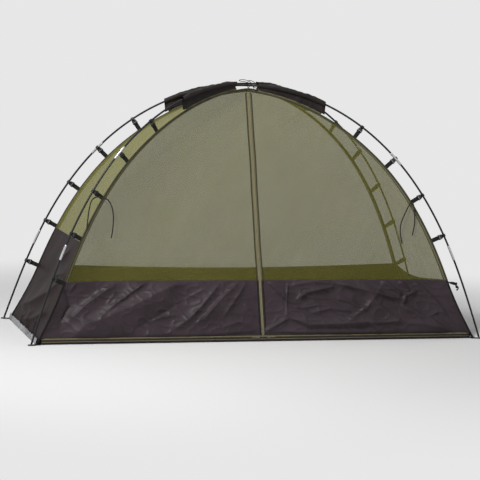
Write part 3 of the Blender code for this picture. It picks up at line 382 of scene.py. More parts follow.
def grid_faces(rows, columns, wrap):
    """Corner numbers of every quad; with wrap the last column joins the first again."""
    strips = columns if wrap else columns - 1
    row, column = np.meshgrid(np.arange(rows - 1), np.arange(strips), indexing="ij")
    beside = (column + 1) % columns
    quads = np.stack((row * columns + column, row * columns + beside,
                      (row + 1) * columns + beside, (row + 1) * columns + column), axis=-1)
    loop_row = np.stack((row, row, row + 1, row + 1), axis=-1)
    loop_column = np.stack((column, column + 1, column + 1, column), axis=-1)
    return quads.reshape(-1, 4), loop_row.reshape(-1), loop_column.reshape(-1)


def surface(name, points, wrap=False, caps=False, marks=None, flip=False):
    """A piece from a grid of points, with UVs in metres and, if given, a value at each point."""
    rows, columns = points.shape[:2]
    quads, loop_row, loop_column = grid_faces(rows, columns, wrap)
    around = np.concatenate((points, points[:, :1]), axis=1) if wrap else points
    table = np.stack((lengths_along(around, 1), lengths_along(around, 0)), axis=-1)
    uv = table[loop_row, loop_column].reshape(-1, 4, 2)
    if flip:
        quads, uv = quads[:, ::-1], uv[:, ::-1]
    faces = quads.tolist()
    uv = uv.reshape(-1, 2)
    if caps:
        first, last = np.arange(columns), np.arange(columns) + (rows - 1) * columns
        ends = [first if flip else first[::-1], last[::-1] if flip else last]
        faces += [end.tolist() for end in ends]
        uv = np.concatenate((uv, np.zeros((2 * columns, 2))))
    mesh = bpy.data.meshes.new(name)
    mesh.from_pydata(points.reshape(-1, 3).tolist(), [], faces)
    layer = mesh.uv_layers.new(name="cloth")
    layer.data.foreach_set("uv", uv.astype(np.float32).reshape(-1))
    for mark, values in (marks or {}).items():
        attribute = mesh.attributes.new(mark, "FLOAT", "POINT")
        attribute.data.foreach_set("value", np.asarray(values, np.float32).reshape(-1))
    mesh.shade_smooth()
    return placed(name, mesh)


def tube(name, points, marks=None, flip=False):
    """A closed profile carried along a path, with a cap at both ends."""
    return surface(name, points, wrap=True, caps=True, marks=marks, flip=flip)


def grid_area(points):
    """Half the length of the cross product of the two diagonals of each quad, added up."""
    across = points[1:, 1:] - points[:-1, :-1]
    down = points[1:, :-1] - points[:-1, 1:]
    return float(np.linalg.norm(np.cross(across, down), axis=-1).sum() / 2)


def thicken(piece, thickness):
    """Half of the thickness on each side of the surface."""
    modifier = piece.modifiers.new("cloth thickness", "SOLIDIFY")
    modifier.thickness = thickness
    modifier.offset = 0.0
    modifier.use_even_offset = True
    return piece


# %% Profiles carried along paths
def carried(path, profile, across, up):
    """Place + profile's x * across + profile's y * up, for every place and profile point."""
    across, up = (np.broadcast_to(way, path.shape)[:, None] for way in (across, up))
    return path[:, None] + profile[None, :, 0:1] * across + profile[None, :, 1:2] * up


def swept(path, reference, profile, scale=1.0):
    """A profile carried along a path. Across is square to the path and to a steady reference,
    up is square to both, and the scale may change along the path."""
    along = unit(np.gradient(path, axis=0))
    across = unit(np.cross(along, np.broadcast_to(reference, path.shape)))
    size = np.broadcast_to(scale, len(path))[:, None]
    return carried(path, profile, size * across, size * np.cross(across, along))


def oval(half_width, half_height, sides):
    """An oval profile: cosine across and sine up."""
    angles = 2 * np.pi * np.arange(sides) / sides
    return np.stack((half_width * np.cos(angles), half_height * np.sin(angles)), axis=-1)


BAND_POWER = 0.6


def soft_box(half_width, half_height, sides, power=0.35):
    """A rounded rectangle: an oval whose sine and cosine are pushed towards their ends, and the
    more so the smaller the power is."""
    angles = 2 * np.pi * (np.arange(sides) + 0.5) / sides
    round_ends = np.stack((np.cos(angles), np.sin(angles)), axis=-1)
    return np.sign(round_ends) * np.abs(round_ends) ** power * [half_width, half_height]


WAVES = 6


def ripple(first, second, seed):
    """Smooth unevenness between -1 and 1: a few sine waves of both parameters, seeded."""
    chance = np.random.default_rng(seed)
    turns, phases = chance.uniform(-1.0, 1.0, (WAVES, 2)), chance.uniform(0.0, 2 * np.pi, WAVES)
    waves = [np.sin(2 * np.pi * (turn[0] * first + turn[1] * second) + phase)
             for turn, phase in zip(turns, phases)]
    return sum(waves) / WAVES


# %% [markdown]
# ## Shader maths as plain Python
#
# A material could be wired by hand, node by node. A small class that wraps a socket lets a
# finish be written as an expression instead: adding two wires makes the Add node. Colours are
# mixed and vectors scaled by nodes of their own kinds, because a Math node would turn them grey.


# %% The wire and the tree of nodes
class Wire:
    """One output socket of a node, with the usual operators."""

    def __init__(self, wiring, socket):
        self.wiring, self.socket = wiring, socket

    def maths(self, operation, *values):
        """One Math node, fed with these wires and numbers."""
        return self.wiring.node("ShaderNodeMath", {"operation": operation}, values)

    def __add__(self, other):
        return self.maths("ADD", self, other)

    def __mul__(self, other):
        return self.maths("MULTIPLY", self, other)

    def __sub__(self, other):
        return self.maths("SUBTRACT", self, other)

    def __rsub__(self, other):
        return self.maths("SUBTRACT", other, self)

    def __truediv__(self, other):
        return self.maths("DIVIDE", self, other)

    def __mod__(self, other):
        return self.maths("FLOORED_MODULO", self, other)

    def __abs__(self):
        return self.maths("ABSOLUTE", self)

    __radd__, __rmul__ = __add__, __mul__

    def larger(self, other):
        """The larger of this wire and another value."""
        return self.maths("MAXIMUM", self, other)

    def between(self, low, high, to_low=0.0, to_high=1.0):
        """A smooth step from one value to another while this wire goes from low to high."""
        return self.wiring.node("ShaderNodeMapRange", {"interpolation_type": "SMOOTHSTEP"},
                                (self, low, high, to_low, to_high))


class Wiring:
    """A tree of nodes, with one method that makes any node."""

    def __init__(self, tree):
        self.tree = tree

    def node(self, kind, settings=None, values=(), output=0):
        """Adds a node: its type, its settings first, then the values or links of its sockets."""
        made = self.tree.nodes.new(kind)
        for key, value in (settings or {}).items():
            setattr(made, key, value)
        for key, value in values.items() if isinstance(values, dict) else enumerate(values):
            if isinstance(value, Wire):
                self.join(value, made.inputs[key])
            else:
                made.inputs[key].default_value = value
        return Wire(self, made.outputs[output])

    def join(self, wire, socket):
        """Links a wire to a socket that takes values."""
        self.tree.links.new(wire.socket, socket)


# %% The finish
def socket_name(key):
    """The keyword base_color means the socket Base Color."""
    return key.replace("_", " ").title().replace("Ior", "IOR")


class Finish(Wiring):
    """A material: its Principled shader takes constants on its own sockets."""

    def __init__(self, name, **constants):
        self.material = bpy.data.materials.new(name)
        self.material.use_nodes = True
        super().__init__(self.material.node_tree)
        self.shader = self.tree.nodes["Principled BSDF"]
        for key, value in constants.items():
            self.shader.inputs[socket_name(key)].default_value = value

    def places(self):
        """Object coordinates."""
        return self.node("ShaderNodeTexCoord", output="Object")

    def cloth(self, across=1.0, along=1.0, turn=0.0):
        """The piece's own UV map in metres, stretched and turned in its plane."""
        spot = self.node("ShaderNodeUVMap", {"uv_map": "cloth"})
        return self.node("ShaderNodeMapping", {}, {
            "Vector": spot, "Scale": (across, along, 1.0), "Rotation": (0.0, 0.0, turn)})

    def across_and_along(self):
        """The two numbers of that UV map."""
        spot = self.node("ShaderNodeUVMap", {"uv_map": "cloth"})
        return [self.node("ShaderNodeSeparateXYZ", {}, [spot], output=part) for part in "XY"]

    def noise(self, place, scale, detail=2.0, roughness=0.5):
        """Smooth noise, with this many lumps to a unit of the place."""
        return self.node("ShaderNodeTexNoise", {}, {
            "Vector": place, "Scale": scale, "Detail": detail, "Roughness": roughness})

    def mark(self, name):
        """A value that the mesh keeps at each of its points."""
        return self.node("ShaderNodeAttribute", {"attribute_name": name}, output="Fac")

    def mixed(self, factor, *colours):
        """A colour between two, each a wire or red, green and blue, on the Mix node's colour
        sockets, which are its seventh and eighth."""
        first, second = (colour if isinstance(colour, Wire) else (*colour, 1.0) for colour in colours)
        values = {0: factor, 6: first, 7: second}
        return self.node("ShaderNodeMix", {"data_type": "RGBA"}, values, output=2)

    def bump(self, height, strength, distance, under=None):
        """A relief in the finish: a height from 0 to 1 stands for the distance in metres."""
        values = {"Strength": strength, "Distance": distance, "Height": height}
        if under is not None:
            values["Normal"] = under
        return self.node("ShaderNodeBump", {}, values)

    def feed(self, **wires):
        """Joins wires to the shader's sockets and gives the finished material."""
        for key, wire in wires.items():
            self.join(wire, self.shader.inputs[socket_name(key)])
        return self.material


def thread(position, pitch):
    """1 on the threads and 0 half-way between them, for lines a pitch apart."""
    return abs(abs(position / pitch) % 1.0 - 0.5) * 2.0


# %% [markdown]
# ## Finishes
#
# The colours were judged from the photograph, where what lies behind the net shines through it,
# so its own olive is darker than it looks. The walls are black-brown coated cloth with a slight
# sheen, a fine weave and many small creases that only the light shows.


# %% Net
NET_PITCH = 0.0018
HEM_BAND, HEM_LINE, HEM_BLUR = 0.0125, 0.0165, 0.0008
TAPE_COLOUR, STITCH_COLOUR = (0.150, 0.141, 0.080), (0.036, 0.033, 0.012)


def net_finish(name, cover, dark, light):
    """Olive net: covered where a thread runs, with a tape sewn along its hem and a dark line of
    stitches at the tape's inner edge."""
    finish = Finish(name, roughness=0.75, specular_ior_level=0.10)
    across, along = finish.across_and_along()
    weave = thread(across, NET_PITCH).larger(thread(along, NET_PITCH))
    slow = finish.noise(finish.cloth(), 5.0, 3.0)
    drawn = finish.noise(finish.cloth(1.0, 0.22, 0.9), 22.0, 2.0)
    from_edge = finish.mark("edge")
    hem = from_edge.between(HEM_LINE - HEM_BLUR, HEM_LINE + HEM_BLUR, 1.0, 0.0)
    stitched = from_edge.between(HEM_BAND - HEM_BLUR, HEM_BAND + HEM_BLUR)
    open_net = weave.between(0.45, 0.95, cover - 0.022, cover + 0.022) + (slow + drawn - 1.0) * 0.08
    alpha = open_net + hem * (0.97 - open_net)
    tape = finish.mixed(stitched, TAPE_COLOUR, STITCH_COLOUR)
    colour = finish.mixed(hem, finish.mixed(slow, dark, light), tape)
    return finish.feed(base_color=colour, alpha=alpha, normal=finish.bump(drawn, 0.25, 0.0010))


# The end and rear nets take a paler copy of the same olive: painted light standing for light shining through the net
# from behind. The front nets keep the darker, plain olive.
PAINTED_LIT_NET = net_finish("olive_net", 0.66, (0.165, 0.158, 0.022), (0.205, 0.196, 0.036))
FRONT_NET = net_finish("front_olive_net", 0.56, (0.136, 0.128, 0.026), (0.168, 0.158, 0.038))


# %% Coated cloth of the walls, floor and sleeves
CLOTH_PITCH = 0.0011


def coated_finish(name, dark, light, roughness, crease=0.0016, turn=0.6, gloss=0.15):
    """A tight plain weave under a rubbery coat: small creases on the slant, and a tone that differs in patches."""
    finish = Finish(name, specular_ior_level=gloss)
    across, along = finish.across_and_along()
    weave = thread(across, CLOTH_PITCH) * 0.5 + thread(along, CLOTH_PITCH) * 0.5
    cloudy = finish.noise(finish.places(), 7.0, 4.0, 0.6)
    creases = finish.noise(finish.cloth(1.0, 0.32, turn), 26.0, 4.0, 0.55)
    sharp = abs(creases - 0.5) * 2.0
    small = finish.noise(finish.cloth(0.6, 1.0, -turn), 95.0, 3.0, 0.6)
    relief = finish.bump(sharp + small * 0.22, 0.55, crease)
    return finish.feed(
        base_color=finish.mixed(cloudy.between(0.32, 0.70), dark, light),
        roughness=cloudy.between(0.25, 0.75, roughness - 0.06, roughness + 0.08),
        normal=finish.bump(weave, 0.25, 0.0003, relief))


WALL = coated_finish("coated_wall", (0.034, 0.0240, 0.0285), (0.048, 0.0345, 0.0410), 0.44)
# The left end wall takes a darker copy of the same coated cloth: painted shade that tones down the key lamp's light on
# that side.
SHADED_END_WALL = coated_finish(
    "coated_end_wall", (0.022, 0.0154, 0.0160), (0.034, 0.0248, 0.0256), 0.50, turn=1.0, gloss=0.03)
FLOOR = coated_finish("coated_floor", (0.020, 0.015, 0.016), (0.038, 0.030, 0.031), 0.50, 0.0012, 0.2)
SLEEVE = coated_finish("sleeve_cloth", (0.009, 0.0065, 0.0065), (0.024, 0.018, 0.018), 0.55, 0.0012, 1.2)
FOOT_STRIP = coated_finish("pale_foot_strip", (0.13, 0.13, 0.14), (0.40, 0.40, 0.42), 0.30, 0.0026, 0.4)


# %% Webbing, binding, tape and cord
def ribbed_finish(name, dark, light, rib, roughness=0.8, over_wall=None):
    """Woven tape: ribs across it, paler rubbed spots, and its own colour beside the wall."""
    finish = Finish(name, roughness=roughness, specular_ior_level=0.2)
    across, along = finish.across_and_along()
    ribs, threads = thread(along, rib), thread(across, rib * 0.7)
    worn = finish.noise(finish.places(), 60.0, 3.0, 0.6)
    colour = finish.mixed((ribs * 0.5 + worn * 0.5).between(0.2, 0.8), dark, light)
    if over_wall is not None:
        colour = finish.mixed(finish.mark("beside_wall"), colour, over_wall)
    return finish.feed(base_color=colour, normal=finish.bump(ribs * 0.7 + threads * 0.3, 0.6, 0.0005))


BINDING = ribbed_finish(
    "seam_binding", (0.040, 0.037, 0.019), (0.072, 0.067, 0.034), 0.0016, over_wall=(0.012, 0.009, 0.009))
WEBBING = ribbed_finish("black_webbing", (0.006, 0.006, 0.006), (0.018, 0.017, 0.016), 0.0018)
ZIP_TAPE = ribbed_finish(
    "zip_tape", (0.115, 0.106, 0.058), (0.165, 0.152, 0.088), 0.0010, 0.75, (0.034, 0.025, 0.020))
ZIP_LINE = ribbed_finish(
    "zip_seam_line", (0.030, 0.027, 0.011), (0.050, 0.046, 0.020), 0.0012, 0.8, (0.016, 0.012, 0.010))
ZIP_COIL = ribbed_finish("zip_coil", (0.150, 0.136, 0.072), (0.250, 0.228, 0.130), 0.0016, 0.45)
TIE_TAPE = ribbed_finish("tie_tape", (0.024, 0.022, 0.014), (0.048, 0.044, 0.028), 0.0012)
BOW_CORD = ribbed_finish("bow_cord", (0.012, 0.012, 0.010), (0.034, 0.032, 0.026), 0.0010, 0.7)
SHOCK_CORD = ribbed_finish("shock_cord", (0.016, 0.016, 0.016), (0.060, 0.060, 0.060), 0.0012, 0.7)


# %% Rods, ferrules, plastic and metal
def rod_finish():
    """Wrapped glass fibre with a dull black gloss: faint lengthwise scratches in the shine."""
    finish = Finish("black_glass_fibre", specular_ior_level=0.25)
    streak = finish.noise(finish.cloth(300.0, 6.0), 1.0, 3.0, 0.6)
    cloudy = finish.noise(finish.places(), 9.0, 2.0)
    return finish.feed(
        base_color=finish.mixed(cloudy, (0.006, 0.006, 0.007), (0.014, 0.014, 0.015)),
        roughness=cloudy.between(0.3, 0.7, 0.34, 0.44), normal=finish.bump(streak, 0.05, 0.0001))


def ferrule_finish():
    """Drawn aluminium tube: rings of fine turning marks and a few dull rubs."""
    finish = Finish("silver_ferrule", metallic=1.0)
    rings = finish.noise(finish.cloth(2.0, 900.0), 1.0, 2.0)
    rubs = finish.noise(finish.places(), 90.0, 3.0, 0.6)
    return finish.feed(
        base_color=finish.mixed(rubs, (0.42, 0.42, 0.43), (0.56, 0.56, 0.56)),
        roughness=(rings * 0.5 + rubs * 0.5).between(0.3, 0.7, 0.22, 0.42),
        normal=finish.bump(rings, 0.15, 0.0002))


def plastic_finish():
    """Moulded black acetal: an even fine grain, rubbed smoother in spots."""
    finish = Finish("black_acetal", specular_ior_level=0.5)
    grain = finish.noise(finish.places(), 1400.0, 2.0)
    rubbed = finish.noise(finish.places(), 70.0, 2.0)
    return finish.feed(
        base_color=finish.mixed(rubbed, (0.011, 0.011, 0.012), (0.022, 0.022, 0.023)),
        roughness=rubbed.between(0.3, 0.7, 0.30, 0.48), normal=finish.bump(grain, 0.2, 0.0002))


def brass_finish():
    """Die-cast sliders and eyelets: dull brass, darker where it tarnished."""
    finish = Finish("dull_brass", metallic=0.8)
    worn = finish.noise(finish.places(), 240.0, 3.0, 0.6)
    return finish.feed(
        base_color=finish.mixed(worn, (0.10, 0.09, 0.065), (0.24, 0.22, 0.17)),
        roughness=worn.between(0.3, 0.7, 0.25, 0.5), normal=finish.bump(worn, 0.2, 0.0002))


RODS, FERRULES, PLASTIC, BRASS = rod_finish(), ferrule_finish(), plastic_finish(), brass_finish()
print("finishes", len(bpy.data.materials))


# %% Hand a piece over to the frame
CUT_SPARE = 1.01


def dress(piece, material, body, slot, *nodes):
    """Gives a piece its finish, its body, its slot and the CAD nodes that it stands for."""
    piece.data.materials.append(material)
    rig.ride(piece, body)
    if nodes:
        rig.replaces(piece, *nodes)
    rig.slot(piece, slot)
    return piece


def declare_cloth(piece, points, held, rests_on):
    """Flat size: the longest row and the longest column; flat area: the grid's own area."""
    width = float(lengths_along(points, 1).max()) * CUT_SPARE
    length = float(lengths_along(points, 0).max()) * CUT_SPARE
    area = grid_area(points)
    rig.sheet(piece, flat=(width, length), held=held, rests_on=rests_on, area=area)
    print(piece.name, "cut about", round(width, 2), "x", round(length, 2), "m, area", round(area, 3))


# %% [markdown]
# ## Cords and tapes first
#
# Three things on this tent hang free: the cord tied in a bow where the poles cross, and one
# tape on each side that ties the door back. A cord can be a curve with a round bevel, and a
# tape a flat ribbon carried along its path. Both follow the CAD source's own points.


# %% A smooth route through given points
LEG_SAMPLES = 20


def smooth_route(points, spacing):
    """Catmull-Rom curve through the points, then points evenly spaced along its length."""
    points = np.asarray(points, float)
    leg, last = np.arange(len(points) - 1), len(points) - 1
    before, start = points[np.maximum(leg - 1, 0)][:, None], points[leg][:, None]
    end, after = points[leg + 1][:, None], points[np.minimum(leg + 2, last)][:, None]
    share = np.linspace(0.0, 1.0, LEG_SAMPLES + 1)[:-1][None, :, None]
    square, cube = share ** 2, share ** 3
    curve = (start * (2 - 5 * square + 3 * cube) + end * (share + 4 * square - 3 * cube)
             + before * (2 * square - share - cube) + after * (cube - square)) / 2
    samples = np.concatenate((curve.reshape(-1, 3), points[-1:]))
    gone = lengths_along(samples[:, None], 0)[:, 0]
    length = float(gone[-1])
    wanted = np.linspace(0.0, length, max(2, int(round(length / spacing))) + 1)
    return np.stack([np.interp(wanted, gone, samples[:, axis]) for axis in range(3)], axis=-1), length


APEX_TIE_ROUTE = [
    (0.022, -0.034, -0.030), (0.017, -0.030, -0.014), (0.010, -0.022, 0.002), (0.004, -0.012, 0.013),
    (-0.008, -0.004, 0.019), (-0.024, 0.000, 0.022), (-0.040, -0.003, 0.021), (-0.050, -0.012, 0.017),
    (-0.041, -0.020, 0.014), (-0.024, -0.020, 0.013), (-0.010, -0.018, 0.008), (-0.003, -0.016, -0.002),
    (0.000, -0.012, -0.011), (0.000, -0.004, -0.0148), (0.000, 0.004, -0.0148), (0.000, 0.012, -0.011),
    (0.000, 0.016, 0.000), (0.001, 0.011, 0.013), (0.004, 0.001, 0.0185), (0.012, -0.010, 0.018),
    (0.024, -0.020, 0.010), (0.033, -0.030, -0.004), (0.030, -0.038, -0.016), (0.016, -0.038, -0.010),
    (0.004, -0.028, 0.001), (-0.004, -0.026, -0.012), (-0.008, -0.028, -0.028),
]
LEFT_TAPE_ROUTE = [
    (-0.036, 0.0125, -0.178), (-0.042, 0.0125, -0.152), (-0.046, 0.0125, -0.087), (-0.036, 0.0115, -0.036),
    (-0.018, 0.0065, -0.006), (0.000, 0.0, 0.000), (0.022, 0.0020, 0.008), (0.048, 0.0035, 0.006),
    (0.068, 0.0035, -0.012), (0.079, 0.0025, -0.061), (0.086, 0.0025, -0.127),
]
RIGHT_TAPE_ROUTE = [
    (-0.034, 0.0115, -0.196), (-0.045, 0.0125, -0.147), (-0.043, 0.0125, -0.098), (-0.022, 0.0085, -0.042),
    (-0.008, 0.0035, -0.012), (0.000, 0.0, 0.000), (0.011, 0.0020, -0.008), (0.016, 0.0035, -0.034),
    (0.021, 0.0045, -0.095), (0.013, 0.0045, -0.156),
]
TIE_RADIUS, TAPE_RADIUS, TAPE_WIDTH, TIE_CLIP = 0.0015, 0.0018, 0.0060, 2
TAPE_HALF_THICK, TAPE_STEP, BOW_STEP = 0.0005, 0.003, TIE_RADIUS * 1.2


# %% The bow round the crossing
def round_cord(name, route, radius):
    """A curve of one open spline with a round bevel, closed at both ends."""
    curve = bpy.data.curves.new(name, "CURVE")
    curve.dimensions = "3D"
    curve.bevel_depth, curve.bevel_resolution, curve.use_fill_caps = radius, 3, True
    spline = curve.splines.new("POLY")
    spline.points.add(len(route) - 1)
    with_weights = np.concatenate((route, np.ones((len(route), 1))), axis=1)
    spline.points.foreach_set("co", with_weights.reshape(-1))
    spline.use_smooth = True
    return placed(name, curve)


bow_route, bow_length = smooth_route(np.array(APEX_TIE_ROUTE) + UP * ARC_TOP, BOW_STEP)
bow = dress(round_cord("apex_bow", bow_route, TIE_RADIUS), BOW_CORD, "tent", "apex_cord", "apex_tie")
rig.cord(bow, exit=bow_route[0], length=bow_length, diameter=2 * TIE_RADIUS, far_end="bare",
        stiffness="limp", lay="loose")
print("bow", round(bow_length, 3), "m")


# %% The two door tapes
def end_side(arch, sign):
    """The level direction square to the pole's plane that points to the near end of the tent."""
    return arch.side * np.sign(arch.side[0] * sign)


for side, local_route in (("left", LEFT_TAPE_ROUTE), ("right", RIGHT_TAPE_ROUTE)):
    arch, sign = HALVES[f"front_{side}"]
    front = -end_side(arch, sign)
    start = arch.seam(sign * CLIP_STATIONS[TIE_CLIP]) + front * (SEAM_RADIUS + TAPE_RADIUS + GAP)
    local = np.array(local_route)
    route = start + local[:, 0:1] * arch.out * sign + local[:, 1:2] * front + local[:, 2:3] * UP
    route, length = smooth_route(route, TAPE_STEP)
    tape = tube(f"door_tape_{side}", swept(route, front, soft_box(TAPE_WIDTH / 2, TAPE_HALF_THICK, 12)))
    dress(tape, TIE_TAPE, "tent", "tape", f"tie_tape_{side}")
    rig.cord(tape, exit=route[0], length=length, diameter=TAPE_WIDTH, far_end="bare",
            stiffness="limp", lay="hanging", path=route)
    print("tape", side, round(length, 3), "m")

# %% [markdown]
# ## Rods and ferrules
#
# Each pole is seven tubes on an elastic cord. The CAD model bends them in short straight
# stretches. Here the same tubes are carried along the smooth curve: a ring of points square to
# the rod at many places along it. The silver ferrule of each joint is a sleeve of its own, with
# a rolled edge at both ends.


# %% Tubes along a pole
SECTION_ENDS = np.concatenate((
    [-HALF_POLE], (np.arange(MIDDLE_SECTIONS + 1) - MIDDLE_SECTIONS / 2) * MIDDLE_SECTION, [HALF_POLE]))
PIN_LENGTH, PIN_RADIUS = 0.0075, 0.0030
ROLLED_EDGE, ROLL_SHARPNESS = 0.0009, 90
ELASTIC_RADIUS, ELASTIC_REACH, ELASTIC_SIDES, ELASTIC_RINGS = 0.0020, HALF_POLE - 0.03, 8, 200
ROD_SIDES, ROD_RINGS, FERRULE_RINGS = 14, 60, 26
# The ends of each section that carry a ferrule: those away from the middle, but not the feet.
FERRULE_ENDS = ((), ("left",), ("left",), ("left", "right"), ("right",), ("right",), ())


def turned(arch, distances, radii, sides):
    """Rings round the pole: radius times (cosine outward + sine sideways) at each distance."""
    sizes = np.broadcast_to(radii, len(distances))[:, None]
    return carried(arch.point(distances), oval(1.0, 1.0, sides),
                   sizes * arch.outward(distances), sizes * arch.side)


def ferrule_grid(arch, joint, sign):
    """From its own section over the next one. The radius falls off at both rolled ends, by an
    exponential of the distance from the end."""
    share = np.linspace(0.0, 1.0, FERRULE_RINGS)
    along = joint + sign * (-FERRULE_BONDED + (FERRULE_BONDED + FERRULE_SOCKET) * share)
    rolled = ROLLED_EDGE * np.exp(-np.minimum(share, 1 - share) * ROLL_SHARPNESS)
    return turned(arch, along, FERRULE_RADIUS - rolled, ROD_SIDES)


# %% Rods, ferrules and the elastic inside
for arch in (ARCH_A, ARCH_B):
    for index, ferrule_ends in enumerate(FERRULE_ENDS):
        ends = {"left": SECTION_ENDS[index] + GAP / 2, "right": SECTION_ENDS[index + 1] - GAP / 2}
        distances = np.linspace(ends["left"], ends["right"], ROD_RINGS)
        radii = np.where(HALF_POLE - np.abs(distances) < PIN_LENGTH, PIN_RADIUS, POLE_RADIUS)
        node = f"pole_{arch.letter}_section_{index + 1}"
        rod = tube(f"rod_{arch.letter}_{index + 1}", turned(arch, distances, radii, ROD_SIDES))
        dress(rod, RODS, "tent", "pole", node)
        for side in ferrule_ends:
            grid = ferrule_grid(arch, ends[side], SIDES[side])
            ferrule = tube(f"ferrule_{arch.letter}_{index + 1}_{side}", grid, flip=side == "left")
            dress(ferrule, FERRULES, "tent", "pole", node)
    distances = np.linspace(-ELASTIC_REACH, ELASTIC_REACH, ELASTIC_RINGS)
    elastic = tube(f"elastic_{arch.letter}", turned(arch, distances, ELASTIC_RADIUS, ELASTIC_SIDES))
    dress(elastic, SHOCK_CORD, "tent", "shock_cord", f"pole_{arch.letter}_shock_cord")
print("pole sections", 2 * len(FERRULE_ENDS), "ferrules", 2 * sum(map(len, FERRULE_ENDS)))

# %% [markdown]
# ## Panels of the canopy
#
# The net is stretched between the two seams of each side. A panel is a function of two
# parameters: how far up the seams, and how far from one seam to the other. The straight line
# between the seams is then drawn in and sagged as cloth pulls itself in under tension.


# %% End panels
PANEL_TOP_STATION = 0.012


def shares(rows, columns):
    """How far each row is up a panel and each column across it, from 0 to 1."""
    return np.linspace(0.0, 1.0, rows)[:, None], np.linspace(0.0, 1.0, columns)[None, :]


def seam_points(arch, sign, low_height, high_height, rows):
    """The seam between two heights. Without a high one it ends just beside the crossing."""
    low = arch.seam_station(low_height, sign)
    high = arch.seam_station(high_height, sign) if high_height else sign * PANEL_TOP_STATION
    return arch.seam(np.linspace(low, high, rows))


def straight_panel(first, second, columns):
    """Straight lines from each point of one seam to its like on the other."""
    share = np.linspace(0.0, 1.0, columns)[None, :, None]
    return first[:, None] * (1 - share) + second[:, None] * share


def end_panel(sign, low_height, high_height, rows, columns, sag, edge_sag=np.zeros_like):
    """Straight from the front seam to the rear one, drawn inwards by two sines, and lowered where
    net and wall meet by a sine across times a sag that depends on the rise."""
    arches = (ARCH_A, ARCH_B) if sign < 0 else (ARCH_B, ARCH_A)
    front, rear = (seam_points(arch, sign, low_height, high_height, rows) for arch in arches)
    grid = straight_panel(front, rear, columns)
    rise, share = shares(rows, columns)
    grid[..., 0] -= sign * sag * np.sin(np.pi * share) * np.sin(np.pi * rise)
    grid[..., 2] -= np.sin(np.pi * share ** 1.4) * edge_sag(rise)
    return grid


# %% Rear panel
def rear_panel(low_height, high_height, rows, columns, sag_low, sag_high):
    """Between the rear seams: lowered by a sine, and drawn in to the flat rear face."""
    left = seam_points(ARCH_B, -1.0, low_height, high_height, rows)
    right = seam_points(ARCH_A, 1.0, low_height, high_height, rows)
    grid = straight_panel(left, right, columns)
    rise, share = shares(rows, columns)
    grid[..., 2] -= (sag_low + (sag_high - sag_low) * rise) * np.sin(np.pi * share)
    face = CORNER[1] * (SEAM_TOP - grid[..., 2]) / FACE_HEIGHT
    drawn_in = np.maximum(0.0, grid[..., 1] - face)
    grid[..., 1] -= drawn_in * (1 - np.abs(2 * share - 1) ** 1.5) * (1 - rise ** 6)
    return grid


# %% Front halves, from the zip to the seam
FRONT_SLANT = float(np.hypot(CORNER[1], FACE_HEIGHT))
ZIP_EDGE, ROUNDING, HINGE_SPREAD = 0.0018, 0.20, 0.015


def front_half(sign, low_height, high_height, rows, columns):
    """From the zip along the flat front face, then bent smoothly into the pole's own plane."""
    seam = seam_points(ARCH_A if sign < 0 else ARCH_B, sign, low_height, high_height, rows)
    height = seam[:, 2]
    down = np.maximum((SEAM_TOP - height) / FACE_HEIGHT, 0.0)
    face = -CORNER[1] * down
    zip_edge = np.stack((np.full(rows, sign * ZIP_EDGE), face, height), axis=-1)
    hinge = np.stack((sign * np.maximum(CORNER[0] * down, 2 * ZIP_EDGE), face, height), axis=-1)
    first = np.linalg.norm(hinge - zip_edge, axis=-1)[:, None]
    second = np.linalg.norm(seam - hinge, axis=-1)[:, None]
    round_off = np.maximum(np.minimum(ROUNDING, np.minimum(first, second) * 0.9), 1e-6)
    gone = np.linspace(0.0, 1.0, columns)[None, :] * (first + second)
    past = gone - first
    bending = (past + round_off) ** 2 / (4 * round_off)
    late = np.where(past > round_off, past, np.where(past < -round_off, 0.0, bending))
    way_one = unit(hinge - zip_edge)[:, None]
    way_two = ((seam - hinge) / np.maximum(second, 1e-6))[:, None]
    return zip_edge[:, None] + (gone - late)[..., None] * way_one + late[..., None] * way_two


def dress_front(piece, material, side, slot, *nodes):
    """A front half stays still outside its hinge line, from the floor corner to the top of the
    zip, and turns with the door inside it. The cloth bends between the two."""
    piece.data.materials.append(material)
    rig.replaces(piece, *nodes)
    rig.slot(piece, slot)
    sign = SIDES[side]
    foot = np.array([sign * CORNER[0], -CORNER[1], CORNER[2]])
    top = np.array([0.0, 0.0, SEAM_TOP])
    along = unit(top - foot)
    across = unit(np.array([-sign, 0.0, 0.0]) + along * sign * along[0])
    middle = (foot + top) / 2
    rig.blend(piece, "tent", f"door_{side}",
             start=tuple(middle - across * HINGE_SPREAD), end=tuple(middle + across * HINGE_SPREAD))


# %% Hang the nets
NET_SAG, REAR_SAG, RIGHT_EDGE_SAG, NET_UNEVEN = 0.012, 0.020, 0.032, 0.001


def edge_distance(grid, from_zip):
    """How far each point is from the nearer sewn side. The zip side of a door isn't one."""
    across = lengths_along(grid, 1)
    far = across[:, -1:] - across
    return far if from_zip else np.minimum(across, far)


def hang_net(name, grid, rests_on, *nodes):
    """The grid with a millimetre of slow unevenness, its finish, its body and its cut size."""
    front = name.startswith("front")
    slow = ripple(grid[..., 0] * 1.7, grid[..., 2] * 1.3 + grid[..., 1], 3)
    grid = grid + np.array([0.0, NET_UNEVEN, 0.0]) * slow[..., None]
    net = surface(name, grid, marks={"edge": edge_distance(grid, front)})
    if front:
        dress_front(net, FRONT_NET, name.split("_")[-1], "net", *nodes)
    else:
        dress(net, PAINTED_LIT_NET, "tent", "net", *nodes)
    declare_cloth(net, grid, "stretched", rests_on)


